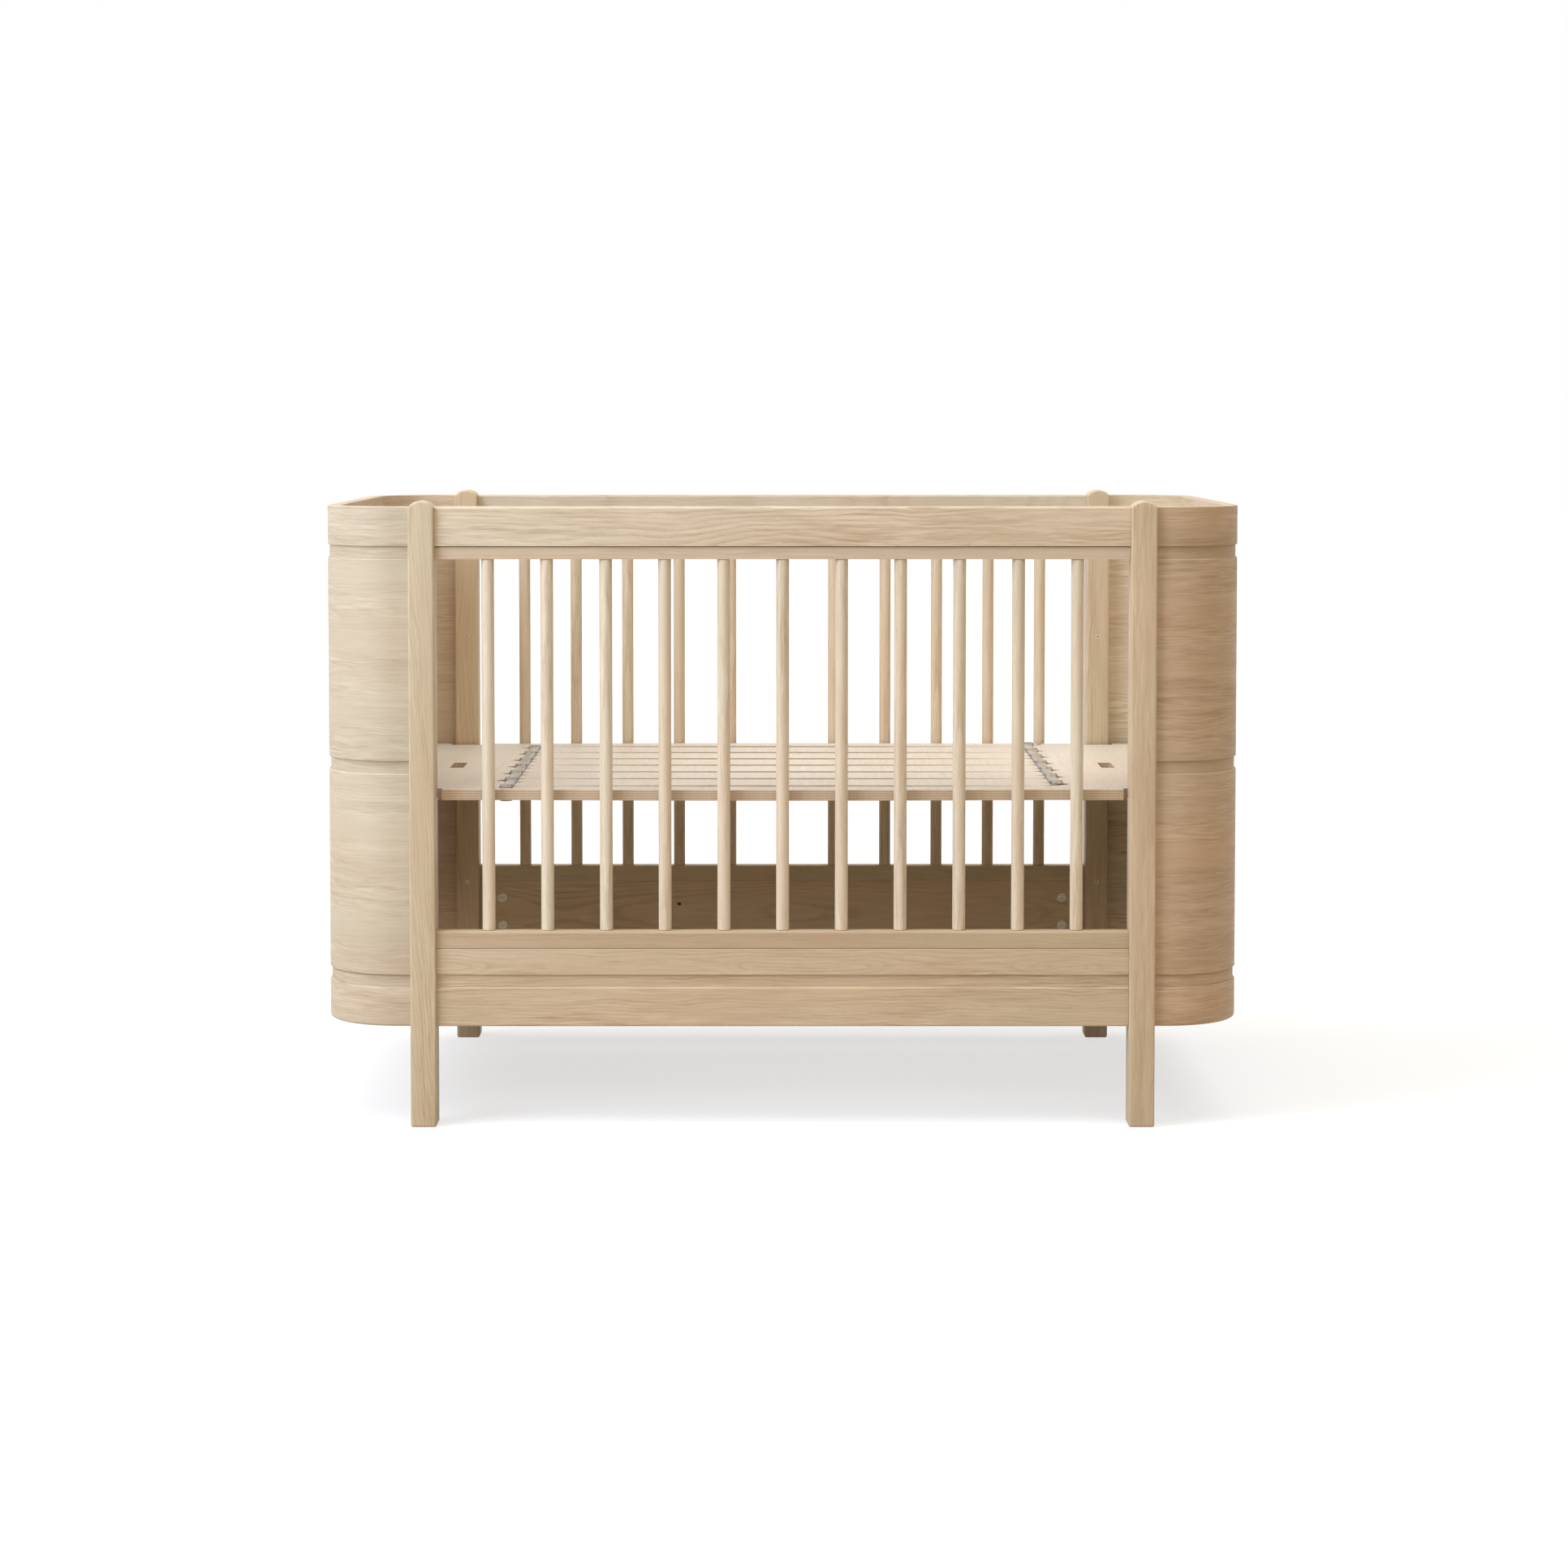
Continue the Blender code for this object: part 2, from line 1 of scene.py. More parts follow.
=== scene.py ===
"""The looks of an oak baby crib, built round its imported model.

Metres, +Z up, the crib's front at -Y. Half a turn about Z leaves the crib as it is, so a piece is shaped
once, at the left or the front, and turned for its partner. Every wood pattern is read in board coordinates:
x along the grain, y through the board and z across it.
"""

import math

import bmesh
import bpy
import numpy as np
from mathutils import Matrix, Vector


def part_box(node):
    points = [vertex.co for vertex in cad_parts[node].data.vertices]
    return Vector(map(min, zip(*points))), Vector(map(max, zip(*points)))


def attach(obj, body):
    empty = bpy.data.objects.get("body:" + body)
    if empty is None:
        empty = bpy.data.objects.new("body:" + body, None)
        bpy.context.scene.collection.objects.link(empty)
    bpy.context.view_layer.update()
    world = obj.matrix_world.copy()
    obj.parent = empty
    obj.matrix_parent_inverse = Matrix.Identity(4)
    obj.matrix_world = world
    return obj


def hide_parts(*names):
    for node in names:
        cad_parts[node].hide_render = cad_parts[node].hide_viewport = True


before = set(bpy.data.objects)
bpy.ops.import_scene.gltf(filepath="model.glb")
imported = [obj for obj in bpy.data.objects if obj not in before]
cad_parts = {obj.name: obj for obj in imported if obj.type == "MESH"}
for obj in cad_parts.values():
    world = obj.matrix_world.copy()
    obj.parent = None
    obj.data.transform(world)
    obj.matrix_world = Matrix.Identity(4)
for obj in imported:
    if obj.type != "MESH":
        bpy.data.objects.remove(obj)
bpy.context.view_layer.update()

CORNERS = [f"{depth}_{side}" for depth in ("front", "back") for side in ("left", "right")]

# Bent end shells
SHELL_THICKNESS = 0.018
SHELL_CORNER = 0.106
SHELL_FOOT_RADIUS = 0.004
SHELL_RIM_RADIUS = 0.0015
BEND_STEPS = 56
GROOVE_HEIGHT = 0.018
GROOVE_DEPTH = 0.0025
GROOVE_LIP = 0.002
BAND_HEIGHT = 0.055
FILLET_STEPS = 5

# Posts. A heart is (depth, side, slant): where the tree's heart lies, and how much the grain leans
POST_EDGE = 0.003
POST_FOOT_RADIUS = 0.0032
DOME_RISE = 0.0095
DOME_STEPS = 28
SHOULDER_RADIUS = 0.0035
FIXING_STEP = 0.196
POST_HEARTS = {
    "front_left": (0.030, 0.040, 0.07),
    "front_right": (0.020, 0.170, 0.0),
    "back_left": (0.090, 0.060, 0.02),
    "back_right": (0.060, 0.090, -0.02),
}
POST_CUT = 3.1
POST_SHARP = 50.0

# Spindles
SPINDLE_COUNT = 11
TENON_RADIUS = 0.006
TENON_LENGTH = 0.010
SPINDLE_SIDES = 40
SPINDLE_SHOULDER = 0.0006
SPINDLE_CUT = 1.37
SPINDLE_HEART = (0.03, 0.05, 2.4)

# Keeper strips and fasteners
KEEPER_SCREWS = 7
KEEPER_STEPS = 330
KEEPER_END = 0.010
KEEPER_SKIRT = 0.0021
# Width of the painted shadow line along a keeper strip's inner edge
KEEPER_SHADOW_LINE = 0.0016
KEEPER_SCALLOP = 0.0030
BOSS_SPREAD = 0.0085
BOSS_SHARPNESS = 4
KEEPER_LOW_END = 0.25
KEEPER_CROWN = [
    (0.0, 0.0),
    (0.0, 0.45),
    (0.06, 0.85),
    (0.20, 0.97),
    (0.40, 1.0),
    (0.60, 1.0),
    (0.80, 0.97),
    (0.94, 0.85),
    (1.0, 0.45),
    (1.0, 0.0),
]
SCREW_RADIUS = 0.0042
SCREW_RISE = 0.0016
SCREW_SOCKET = 0.0017
BASE_SCREW_RADIUS = 0.0055
BASE_SCREW_RISE = 0.0006
BASE_SCREW_INSET = 0.033
INSERT_RADIUS = 0.0033
INSERT_BORE = 0.0028
INSERT_PROUD = 0.0004
INSERT_DEPTH = 0.008
INSERT_THREAD = 0.0013
ROUND_STEPS = 28
CAM_RADIUS = 0.0075
CAM_RISE = 0.0008
CAM_DEPTH = 0.0105
CAM_CHAMFER = 0.0004
CAM_HOLLOW = 0.0007
CAM_HUB_DROP = 0.0001
CAM_SOCKET_DEPTH = 0.0030
CAM_SOCKET = 0.0016
CAM_ARMS = 1.2
CAM_SIDES = 64

# Base
FINGER_BOW = 0.0009
BOW_CUTS = 14
ARRIS = 0.0006
WELD = 0.00001
FLATNESS = 0.01

# Plywood
SHELL_PLIES = 9.0
BASE_PLIES = 9.0
BASE_THICKNESS = 0.015

# Oak's two tones, linear
PALE_OAK = (0.74, 0.645, 0.50, 1.0)
DARK_OAK = (0.47, 0.355, 0.235, 1.0)

# Oak's figure: metres for the ripple and the teeth, fibres to a metre, and the tone between the rings
GRAIN_RIPPLE = 0.013
RING_TEETH = 0.0022
BROAD_FIBRES = 150.0
FINE_FIBRES = 520.0
GROUND_TONE = 0.30

# Floor, world and camera. Bounce and ambient are what the wood gets; the rest is what is seen
FLOOR_REACH = 30.0
FLOOR_COLOUR = (0.375, 0.39, 0.42, 1.0)
FLOOR_MOTTLE = (0.365, 0.38, 0.41, 1.0)
FLOOR_BOUNCE = (0.51, 0.43, 0.33, 1.0)
FLOOR_GLOW = 0.655
WHITE = (1.0, 1.0, 1.0, 1.0)
AMBIENT = (0.11, 0.078, 0.045, 1.0)
CAMERA_PLACE = (-0.0057, -5.143, 0.996)
CAMERA_DIP = 3.017


# ---------------------------------------------------------------- shapes


def surface(name, grid, board=None, sharp=40.0):
    """A closed mesh from a (rows, columns, 3) grid of points.

    Each row is a ring, and the first and the last are capped flat. board is a grid of the same shape, and
    gives each point's place in its plank.
    """
    rows, columns, _ = grid.shape
    index = np.arange(rows * columns).reshape(rows, columns)
    beside = np.roll(index, -1, axis=1)
    quads = np.stack([index[:-1], beside[:-1], beside[1:], index[1:]], axis=-1).reshape(-1, 4)
    faces = quads.tolist() + [index[0][::-1].tolist(), index[-1].tolist()]
    mesh = bpy.data.meshes.new(name)
    mesh.from_pydata(grid.reshape(-1, 3), [], faces)
    mesh.shade_smooth()
    mesh.polygons[-1].use_smooth = mesh.polygons[-2].use_smooth = False
    mesh.set_sharp_from_angle(angle=math.radians(sharp))
    piece = bpy.data.objects.new(name, mesh)
    bpy.context.scene.collection.objects.link(piece)
    if board is not None:
        set_board(piece, board)
    return piece


def set_board(piece, board):
    """Stores each vertex's place in its plank: x along the grain, y through and z across."""
    places = piece.data.attributes.new("board", "FLOAT_VECTOR", "POINT")
    places.data.foreach_set("vector", np.ascontiguousarray(board, np.float32).ravel())


def joined(name, grids):
    """One piece from several closed grids, which share its material."""
    pieces = [surface(name, grid) for grid in grids]
    with bpy.context.temp_override(active_object=pieces[0], selected_editable_objects=pieces):
        bpy.ops.object.join()
    pieces[0].name = name
    return pieces[0]


def half_turn(points):
    """The points after half a turn about Z: x and y change sign."""
    return points * np.array([-1.0, -1.0, 1.0])


def volume_of(grid):
    """Six times the volume inside a grid's rings, positive if its faces point out."""
    middle = grid.reshape(-1, 3).mean(0)
    near, far = grid[:-1] - middle, grid[1:] - middle
    ahead = np.roll(near, -1, axis=1)
    beyond = np.roll(far, -1, axis=1)
    first = np.einsum("ijk,ijk->", np.cross(near, ahead), beyond)
    second = np.einsum("ijk,ijk->", np.cross(near, beyond), far)
    return first + second


def filleted(corners):
    """A closed outline of (x, y, radius) corners, each rounded by an arc that touches both its edges.

    The arc's centre is radius / sin(half the corner's angle) from the corner, on the line that halves it.
    """
    outline = []
    for index, (x, y, radius) in enumerate(corners):
        corner = np.array([x, y])
        if radius == 0.0:
            outline.append(corner[None])
            continue
        back = np.array(corners[index - 1][:2]) - corner
        ahead = np.array(corners[(index + 1) % len(corners)][:2]) - corner
        back, ahead = back / np.hypot(*back), ahead / np.hypot(*ahead)
        half = math.acos(np.clip(back @ ahead, -1, 1)) / 2
        bisector = (back + ahead) / np.hypot(*(back + ahead))
        centre = corner + bisector * radius / math.sin(half)
        first = corner + back * radius / math.tan(half) - centre
        last = corner + ahead * radius / math.tan(half) - centre
        whole = math.pi - 2 * half
        part = np.linspace(0.0, 1.0, FILLET_STEPS + 1)[:, None] * whole
        arc = first * np.sin(whole - part) + last * np.sin(part)
        outline.append(centre + arc / math.sin(whole))
    return np.concatenate(outline)


def turned(profile, centre, axis=(0.0, 0.0, 1.0), sides=ROUND_STEPS):
    """A profile of (radius, height) turned about an axis.

    point = centre + height * axis + radius * ring(angle).
    """
    axis = np.array(axis)
    across = np.array([0.0, 0.0, 1.0]) if abs(axis[2]) < 0.5 else np.array([1.0, 0.0, 0.0])
    other = np.cross(axis, across)
    angle = np.linspace(0.0, math.tau, sides, endpoint=False)
    ring = np.cos(angle)[:, None] * across + np.sin(angle)[:, None] * other
    profile = np.array(profile)
    grid = profile[:, 0, None, None] * ring + profile[:, 1, None, None] * axis + np.array(centre)
    return grid if volume_of(grid) > 0 else grid[:, ::-1]


def bored(piece, cutters):
    """Cuts closed grids out of a piece, such as the bores of its inserts."""
    for grid in cutters:
        cutter = surface("bore", grid)
        cut = piece.modifiers.new("bore", "BOOLEAN")
        cut.object = cutter
        graph = bpy.context.evaluated_depsgraph_get()
        mesh = bpy.data.meshes.new_from_object(piece.evaluated_get(graph))
        mesh.set_sharp_from_angle(angle=math.radians(POST_SHARP))
        piece.modifiers.clear()
        piece.data = mesh
        bpy.data.objects.remove(cutter)


def dress(piece, body, finish, *nodes, slot=None):
    """Gives a piece its finish, lets it ride on its body, and lets it stand for CAD nodes."""
    piece.data.materials.clear()
    piece.data.materials.append(FINISHES[finish])
    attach(piece, body)
    if nodes:
        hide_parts(*nodes)


def shell_section(low, high):
    """Points (inset, height) round the wall: outer face with three grooves, rim, inner face and foot."""
    lowest = low + BAND_HEIGHT
    highest = high - BAND_HEIGHT - GROOVE_HEIGHT
    corners = [(0.0, low, SHELL_FOOT_RADIUS)]
    for groove in (lowest, (lowest + highest) / 2, highest):
        corners += [
            (0.0, groove, GROOVE_LIP),
            (GROOVE_DEPTH, groove, 0.0),
            (GROOVE_DEPTH, groove + GROOVE_HEIGHT, 0.0),
            (0.0, groove + GROOVE_HEIGHT, 0.0),
        ]
    corners += [
        (0.0, high, SHELL_RIM_RADIUS),
        (SHELL_THICKNESS, high, SHELL_RIM_RADIUS),
        (SHELL_THICKNESS, low, SHELL_RIM_RADIUS),
    ]
    return filleted(corners)


def shell_path(start, end, side):
    """Points, inward normals and lengths along the U: lead, quarter circle, end wall, and back again."""
    turn = np.linspace(-math.pi / 2, -math.pi, BEND_STEPS + 1)
    bend = np.stack([np.cos(turn), np.sin(turn)], axis=-1)
    centre = np.array([end + SHELL_CORNER, -(side - SHELL_CORNER)])
    points = np.concatenate([[[start, -side]], centre + SHELL_CORNER * bend])
    normals = np.concatenate([[[0.0, 1.0]], -bend])
    mirror = np.array([1.0, -1.0])
    points = np.concatenate([points, points[::-1] * mirror])
    normals = np.concatenate([normals, normals[::-1] * mirror])
    steps = np.hypot(*np.diff(points, axis=0).T)
    return points, normals, np.concatenate([[0.0], np.cumsum(steps)])


def make_end_shells():
    """Each shell is its section carried along the U: point = path(s) + inset * normal(s), at its own height.

    Its board coordinates are (length along the U, inset, height), so the grain follows the bend.
    """
    low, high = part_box("end_shell_left")
    points, normals, lengths = shell_path(high.x, low.x, high.y)
    section = shell_section(low.z, high.z)
    plan = points[:, None] + normals[:, None] * section[None, :, :1]
    heights = np.broadcast_to(section[None, :, 1:], plan.shape[:2] + (1,))
    grid = np.concatenate([plan, heights], axis=-1)
    places = np.broadcast_arrays(lengths[:, None], section[None, :, 0], section[None, :, 1])
    board = np.stack(places, axis=-1)
    if volume_of(grid) < 0:
        grid, board = grid[:, ::-1], board[:, ::-1]
    for side, points in (("left", grid), ("right", half_turn(grid))):
        shell = surface(f"bent_shell_{side}", points, board)
        dress(shell, "frame", f"oak_bent_{side}", f"end_shell_{side}", slot="oak_bent")


def post_outline(half, top):
    """Points (x, z) round a post's front: rounded foot, straight sides, and an arc over the top."""
    radius = (half**2 + DOME_RISE**2) / (2 * DOME_RISE)
    spread = math.asin(half / radius)
    angle = np.linspace(math.pi / 2 - spread, math.pi / 2 + spread, DOME_STEPS + 1)[1:-1]
    dome = [(radius * math.cos(a), top - radius + radius * math.sin(a), 0.0) for a in angle]
    foot = [(-half, 0.0, POST_FOOT_RADIUS), (half, 0.0, POST_FOOT_RADIUS)]
    shoulder = top - DOME_RISE
    sides = (half, shoulder, SHOULDER_RADIUS), (-half, shoulder, SHOULDER_RADIUS)
    return filleted([*foot, sides[0], *dome, sides[1]])


def edge_rows(depth, radius):
    """Rows (position, inset) through a board of that depth, with quarter circles for its edges."""
    turn = np.linspace(0.0, math.pi / 2, FILLET_STEPS + 1)
    position = radius * (1 - np.cos(turn)) - depth / 2
    inset = radius * (1 - np.sin(turn))
    front = np.stack([position, inset], axis=-1)
    return np.concatenate([front, front[::-1] * np.array([-1.0, 1.0])])


def insert_places(corner):
    """Centres of a post's two free inserts, on its inner face, and the direction out of that face."""
    low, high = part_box("post_" + corner)
    bolt_low, bolt_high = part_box("bracket_bolt_" + corner)
    height = (bolt_low.z + bolt_high.z) / 2
    face, out = (low.y, -1.0) if low.y > 0 else (high.y, 1.0)
    middle = (low.x + high.x) / 2
    places = [(middle, face, height + step * FIXING_STEP) for step in (-1, 1)]
    return places, (0.0, out, 0.0)


def make_posts():
    """A post is its front outline carried from front to back, drawn in at the edges.

    point = outline - inset * normal. Each has its own heart, so one shows slanting flames and another
    straight stripes.
    """
    for corner in CORNERS:
        low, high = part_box("post_" + corner)
        middle = (low + high) / 2
        outline = post_outline((high.x - low.x) / 2, high.z)
        along = np.roll(outline, -1, axis=0) - np.roll(outline, 1, axis=0)
        normal = np.stack([along[:, 1], -along[:, 0]], axis=-1) / np.hypot(*along.T)[:, None]
        rows = edge_rows(high.y - low.y, POST_EDGE)
        drawn = outline[None] - normal[None] * rows[:, None, 1:]
        depth = np.broadcast_to(rows[:, None, :1], drawn.shape[:2] + (1,))
        grid = np.concatenate([drawn[..., :1] + middle.x, depth + middle.y, drawn[..., 1:]], axis=-1)
        if volume_of(grid) <= 0:
            grid = grid[:, ::-1]
        post = surface(f"domed_post_{corner}", grid, sharp=POST_SHARP)
        places, out = insert_places(corner)
        bore = [(INSERT_BORE, -INSERT_DEPTH), (INSERT_BORE, INSERT_DEPTH)]
        bored(post, [turned(bore, place, out) for place in places])
        points = np.empty(len(post.data.vertices) * 3, np.float32)
        post.data.vertices.foreach_get("co", points)
        depth, side, slant = POST_HEARTS[corner]
        board = (points.reshape(-1, 3) - np.array(middle))[:, [2, 1, 0]]
        board[:, 2] += slant * board[:, 0]
        set_board(post, board + np.array([middle.x * POST_CUT + middle.y, depth, side]))
        dress(post, "frame", "post_" + corner, "post_" + corner, slot="oak_upright")


def make_spindles():
    """A spindle is a turned profile: a straight round between small shoulders, with a tenon at each end.

    Its heart lies near + spread * sin(number * step) behind it, so no two show the same grain.
    """
    near, spread, step = SPINDLE_HEART
    for side in ("front", "back"):
        for number in range(1, SPINDLE_COUNT + 1):
            node = f"spindle_{side}_{number:02d}"
            low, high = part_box(node)
            middle = (low + high) / 2
            radius = (high.x - low.x) / 2
            foot, head = low.z + TENON_LENGTH, high.z - TENON_LENGTH
            profile = [
                (TENON_RADIUS, low.z),
                (TENON_RADIUS, foot),
                (radius - SPINDLE_SHOULDER, foot),
                (radius, foot + SPINDLE_SHOULDER),
                (radius, head - SPINDLE_SHOULDER),
                (radius - SPINDLE_SHOULDER, head),
                (TENON_RADIUS, head),
                (TENON_RADIUS, high.z),
            ]
            grid = turned(profile, (middle.x, middle.y, 0.0), sides=SPINDLE_SIDES)
            cut = np.array([number * SPINDLE_CUT, near + spread * math.sin(number * step), 0.0])
            board = (grid - np.array([middle.x, middle.y, 0.0]))[..., [2, 1, 0]] + cut
            spindle = surface("turned_" + node, grid, board)
            dress(spindle, "frame", "spindle_" + side, node, slot="oak_spindle")


def screw_places(low, high):
    """Screw centres, evenly spaced along a strip, each over the end of a finger."""
    y = np.linspace(low.y + KEEPER_END, high.y - KEEPER_END, KEEPER_SCREWS)
    return np.stack([np.full(KEEPER_SCREWS, (low.x + high.x) / 2), y], axis=-1)


def keeper_grid(low, high, up):
    """A strip with a low boss at each screw: height = skirt + (rise - skirt) * boss.

    boss = exp(-(distance / spread)^4). The outer edge swells at each boss, the two ends slope down, and the
    crown rounds the strip across. up is 1 above the base and -1 below it.
    """
    y = np.linspace(low.y, high.y, KEEPER_STEPS)
    screws = screw_places(low, high)[:, 1]
    boss = np.exp(-(((y[:, None] - screws[None]) / BOSS_SPREAD) ** BOSS_SHARPNESS)).max(1)
    slope = np.clip(np.minimum(y - low.y, high.y - y) / KEEPER_SKIRT, KEEPER_LOW_END, 1.0)
    outer = low.x + KEEPER_SCALLOP * (1 - boss)
    rise = (KEEPER_SKIRT + (high.z - low.z - KEEPER_SKIRT) * boss) * slope
    across, crown = np.array(KEEPER_CROWN).T
    x = outer[:, None] + (high.x - outer)[:, None] * across[None]
    base = low.z if up > 0 else high.z
    z = base + up * rise[:, None] * crown[None]
    grid = np.stack([x, np.broadcast_to(y[:, None], x.shape), z], axis=-1)
    return grid if volume_of(grid) > 0 else grid[:, ::-1]


def screw_head(x, y, z, up):
    """A pan head with a round socket, turned: a rim, a low crown and the socket's wall and floor."""
    profile = [
        (SCREW_RADIUS, 0.0),
        (SCREW_RADIUS, 0.35 * SCREW_RISE),
        (0.88 * SCREW_RADIUS, 0.75 * SCREW_RISE),
        (0.62 * SCREW_RADIUS, SCREW_RISE),
        (SCREW_SOCKET, SCREW_RISE),
        (SCREW_SOCKET * 0.9, 0.4 * SCREW_RISE),
        (SCREW_SOCKET * 0.2, 0.3 * SCREW_RISE),
    ]
    return turned([(radius, up * height) for radius, height in profile], (x, y, z))


def make_keepers():
    """The four keeper strips, and the heads of the screws that hold each one to the fingers' ends."""
    for level, up in (("top", 1.0), ("bottom", -1.0)):
        low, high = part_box(f"keeper_strip_{level}_left")
        strip = keeper_grid(low, high, up)
        seat = (high.z if up > 0 else low.z) - up * SCREW_RISE
        heads = [screw_head(x, y, seat, up) for x, y in screw_places(low, high)]
        for side, turn in (("left", np.array), ("right", half_turn)):
            keeper = surface(f"finger_keeper_{level}_{side}", turn(strip), sharp=60.0)
            dress(keeper, "bed_base", "keeper", f"keeper_strip_{level}_{side}")
            screws = joined(f"keeper_screws_{level}_{side}", [turn(head) for head in heads])
            dress(screws, "bed_base", "steel")


def cam_face(centre, out):
    """A cam's visible end: a raised rim, a hollow ring, and a hub with a deep cross socket.

    Each row is a ring at radius * (1 + arms(angle)). Only the socket's rows have arms, |cos(2 * angle)|^6.
    """
    outer, rise = CAM_RADIUS, CAM_RISE
    profile = [
        (outer, -CAM_DEPTH, 0.0),
        (outer, rise - CAM_CHAMFER, 0.0),
        (outer - CAM_CHAMFER, rise, 0.0),
        (0.82 * outer, rise, 0.0),
        (0.76 * outer, rise - CAM_HOLLOW, 0.0),
        (0.58 * outer, rise - CAM_HOLLOW, 0.0),
        (0.52 * outer, rise - CAM_HUB_DROP, 0.0),
        (CAM_SOCKET, rise - CAM_HUB_DROP, CAM_ARMS),
        (0.85 * CAM_SOCKET, rise - CAM_SOCKET_DEPTH, CAM_ARMS),
    ]
    grid = turned([row[:2] for row in profile], centre, out, sides=CAM_SIDES)
    angle = np.linspace(0.0, math.tau, CAM_SIDES, endpoint=False)
    arms = 1 + np.array([row[2] for row in profile])[:, None] * np.abs(np.cos(2 * angle)) ** 6
    axis = np.abs(np.array(out))[None, None]
    spread = (grid - np.array(centre)) * (1 - axis)
    along = (grid - np.array(centre)) * axis
    shaped = np.array(centre) + spread * arms[..., None] + along
    return shaped if volume_of(shaped) > 0 else shaped[:, ::-1]


def make_cams():
    """The cam locks' visible ends, in the lower panels' inner faces."""
    for corner in CORNERS:
        for level in ("upper", "lower"):
            node = f"cam_lock_{corner}_{level}"
            low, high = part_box(node)
            middle = (low + high) / 2
            out = -1.0 if middle.y > 0 else 1.0
            face = (low.y if out < 0 else high.y) - out * CAM_RISE
            grid = cam_face((middle.x, face, middle.z), (0.0, out, 0.0))
            dress(surface(f"cam_{corner}_{level}", grid), "frame", "zinc", node)


def make_base_screws():
    """Flat heads that hold the base down to its four brackets, a little way in from each post."""
    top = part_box("base_comb_left")[1].z
    heads = []
    for corner in CORNERS:
        low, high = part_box("base_bracket_" + corner)
        middle = (low + high) / 2
        post_side = high.y if middle.y > 0 else low.y
        y = post_side - math.copysign(BASE_SCREW_INSET, middle.y)
        profile = [
            (BASE_SCREW_RADIUS, 0.0),
            (BASE_SCREW_RADIUS, 0.5 * BASE_SCREW_RISE),
            (0.9 * BASE_SCREW_RADIUS, BASE_SCREW_RISE),
            (SCREW_SOCKET, BASE_SCREW_RISE),
            (0.8 * SCREW_SOCKET, BASE_SCREW_RISE / 3),
        ]
        heads.append(turned(profile, (middle.x, y, top)))
    dress(joined("base_screws", heads), "bed_base", "zinc")


def make_combs():
    """The base's two combs, with their sawn edges eased and their long fingers sprung a little.

    A finger's middle rises by bow * (1 - (x / reach)^2), up on the left comb and down on the right one, so
    the fingers that lie side by side don't quite line up.
    """
    for side, bow in (("left", FINGER_BOW), ("right", -FINGER_BOW)):
        node = f"base_comb_{side}"
        shape = bmesh.new()
        shape.from_mesh(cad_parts[node].data)
        bmesh.ops.remove_doubles(shape, verts=shape.verts, dist=WELD)
        bmesh.ops.dissolve_limit(shape, angle_limit=FLATNESS, verts=shape.verts, edges=shape.edges)
        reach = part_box("keeper_strip_top_right")[0].x
        for cut in np.linspace(-reach, reach, BOW_CUTS):
            parts = shape.verts[:] + shape.edges[:] + shape.faces[:]
            bmesh.ops.bisect_plane(shape, geom=parts, dist=WELD, plane_co=(cut, 0, 0), plane_no=(1, 0, 0))
        mesh = bpy.data.meshes.new(f"sprung_comb_{side}")
        shape.to_mesh(mesh)
        shape.free()
        points = np.empty(len(mesh.vertices) * 3, np.float32)
        mesh.vertices.foreach_get("co", points)
        points = points.reshape(-1, 3)
        points[:, 2] += bow * np.clip(1 - (points[:, 0] / reach) ** 2, 0, 1)
        mesh.vertices.foreach_set("co", points.ravel())
        comb = bpy.data.objects.new(f"sprung_comb_{side}", mesh)
        bpy.context.scene.collection.objects.link(comb)
        ease = comb.modifiers.new("arris", "BEVEL")
        ease.width = ARRIS
        ease.segments = 2
        ease.limit_method = "ANGLE"
        ease.angle_limit = math.radians(40.0)
        dress(comb, "bed_base", "plywood", node)


def make_inserts():
    """Threaded inserts in the posts, at the base's two other heights: a flat ring, and a sleeve."""
    profile = [
        (INSERT_BORE, -INSERT_DEPTH * 0.9),
        (INSERT_BORE, 0.0),
        (INSERT_RADIUS, 0.0),
        (INSERT_RADIUS, INSERT_PROUD),
        (INSERT_THREAD + INSERT_PROUD, INSERT_PROUD),
        (INSERT_THREAD, 0.0),
        (INSERT_THREAD, -INSERT_DEPTH * 0.8),
    ]
    rings = []
    for corner in CORNERS:
        places, out = insert_places(corner)
        rings += [turned(profile, place, out) for place in places]
    dress(joined("post_inserts", rings), "frame", "zinc")


# ---------------------------------------------------------------- materials


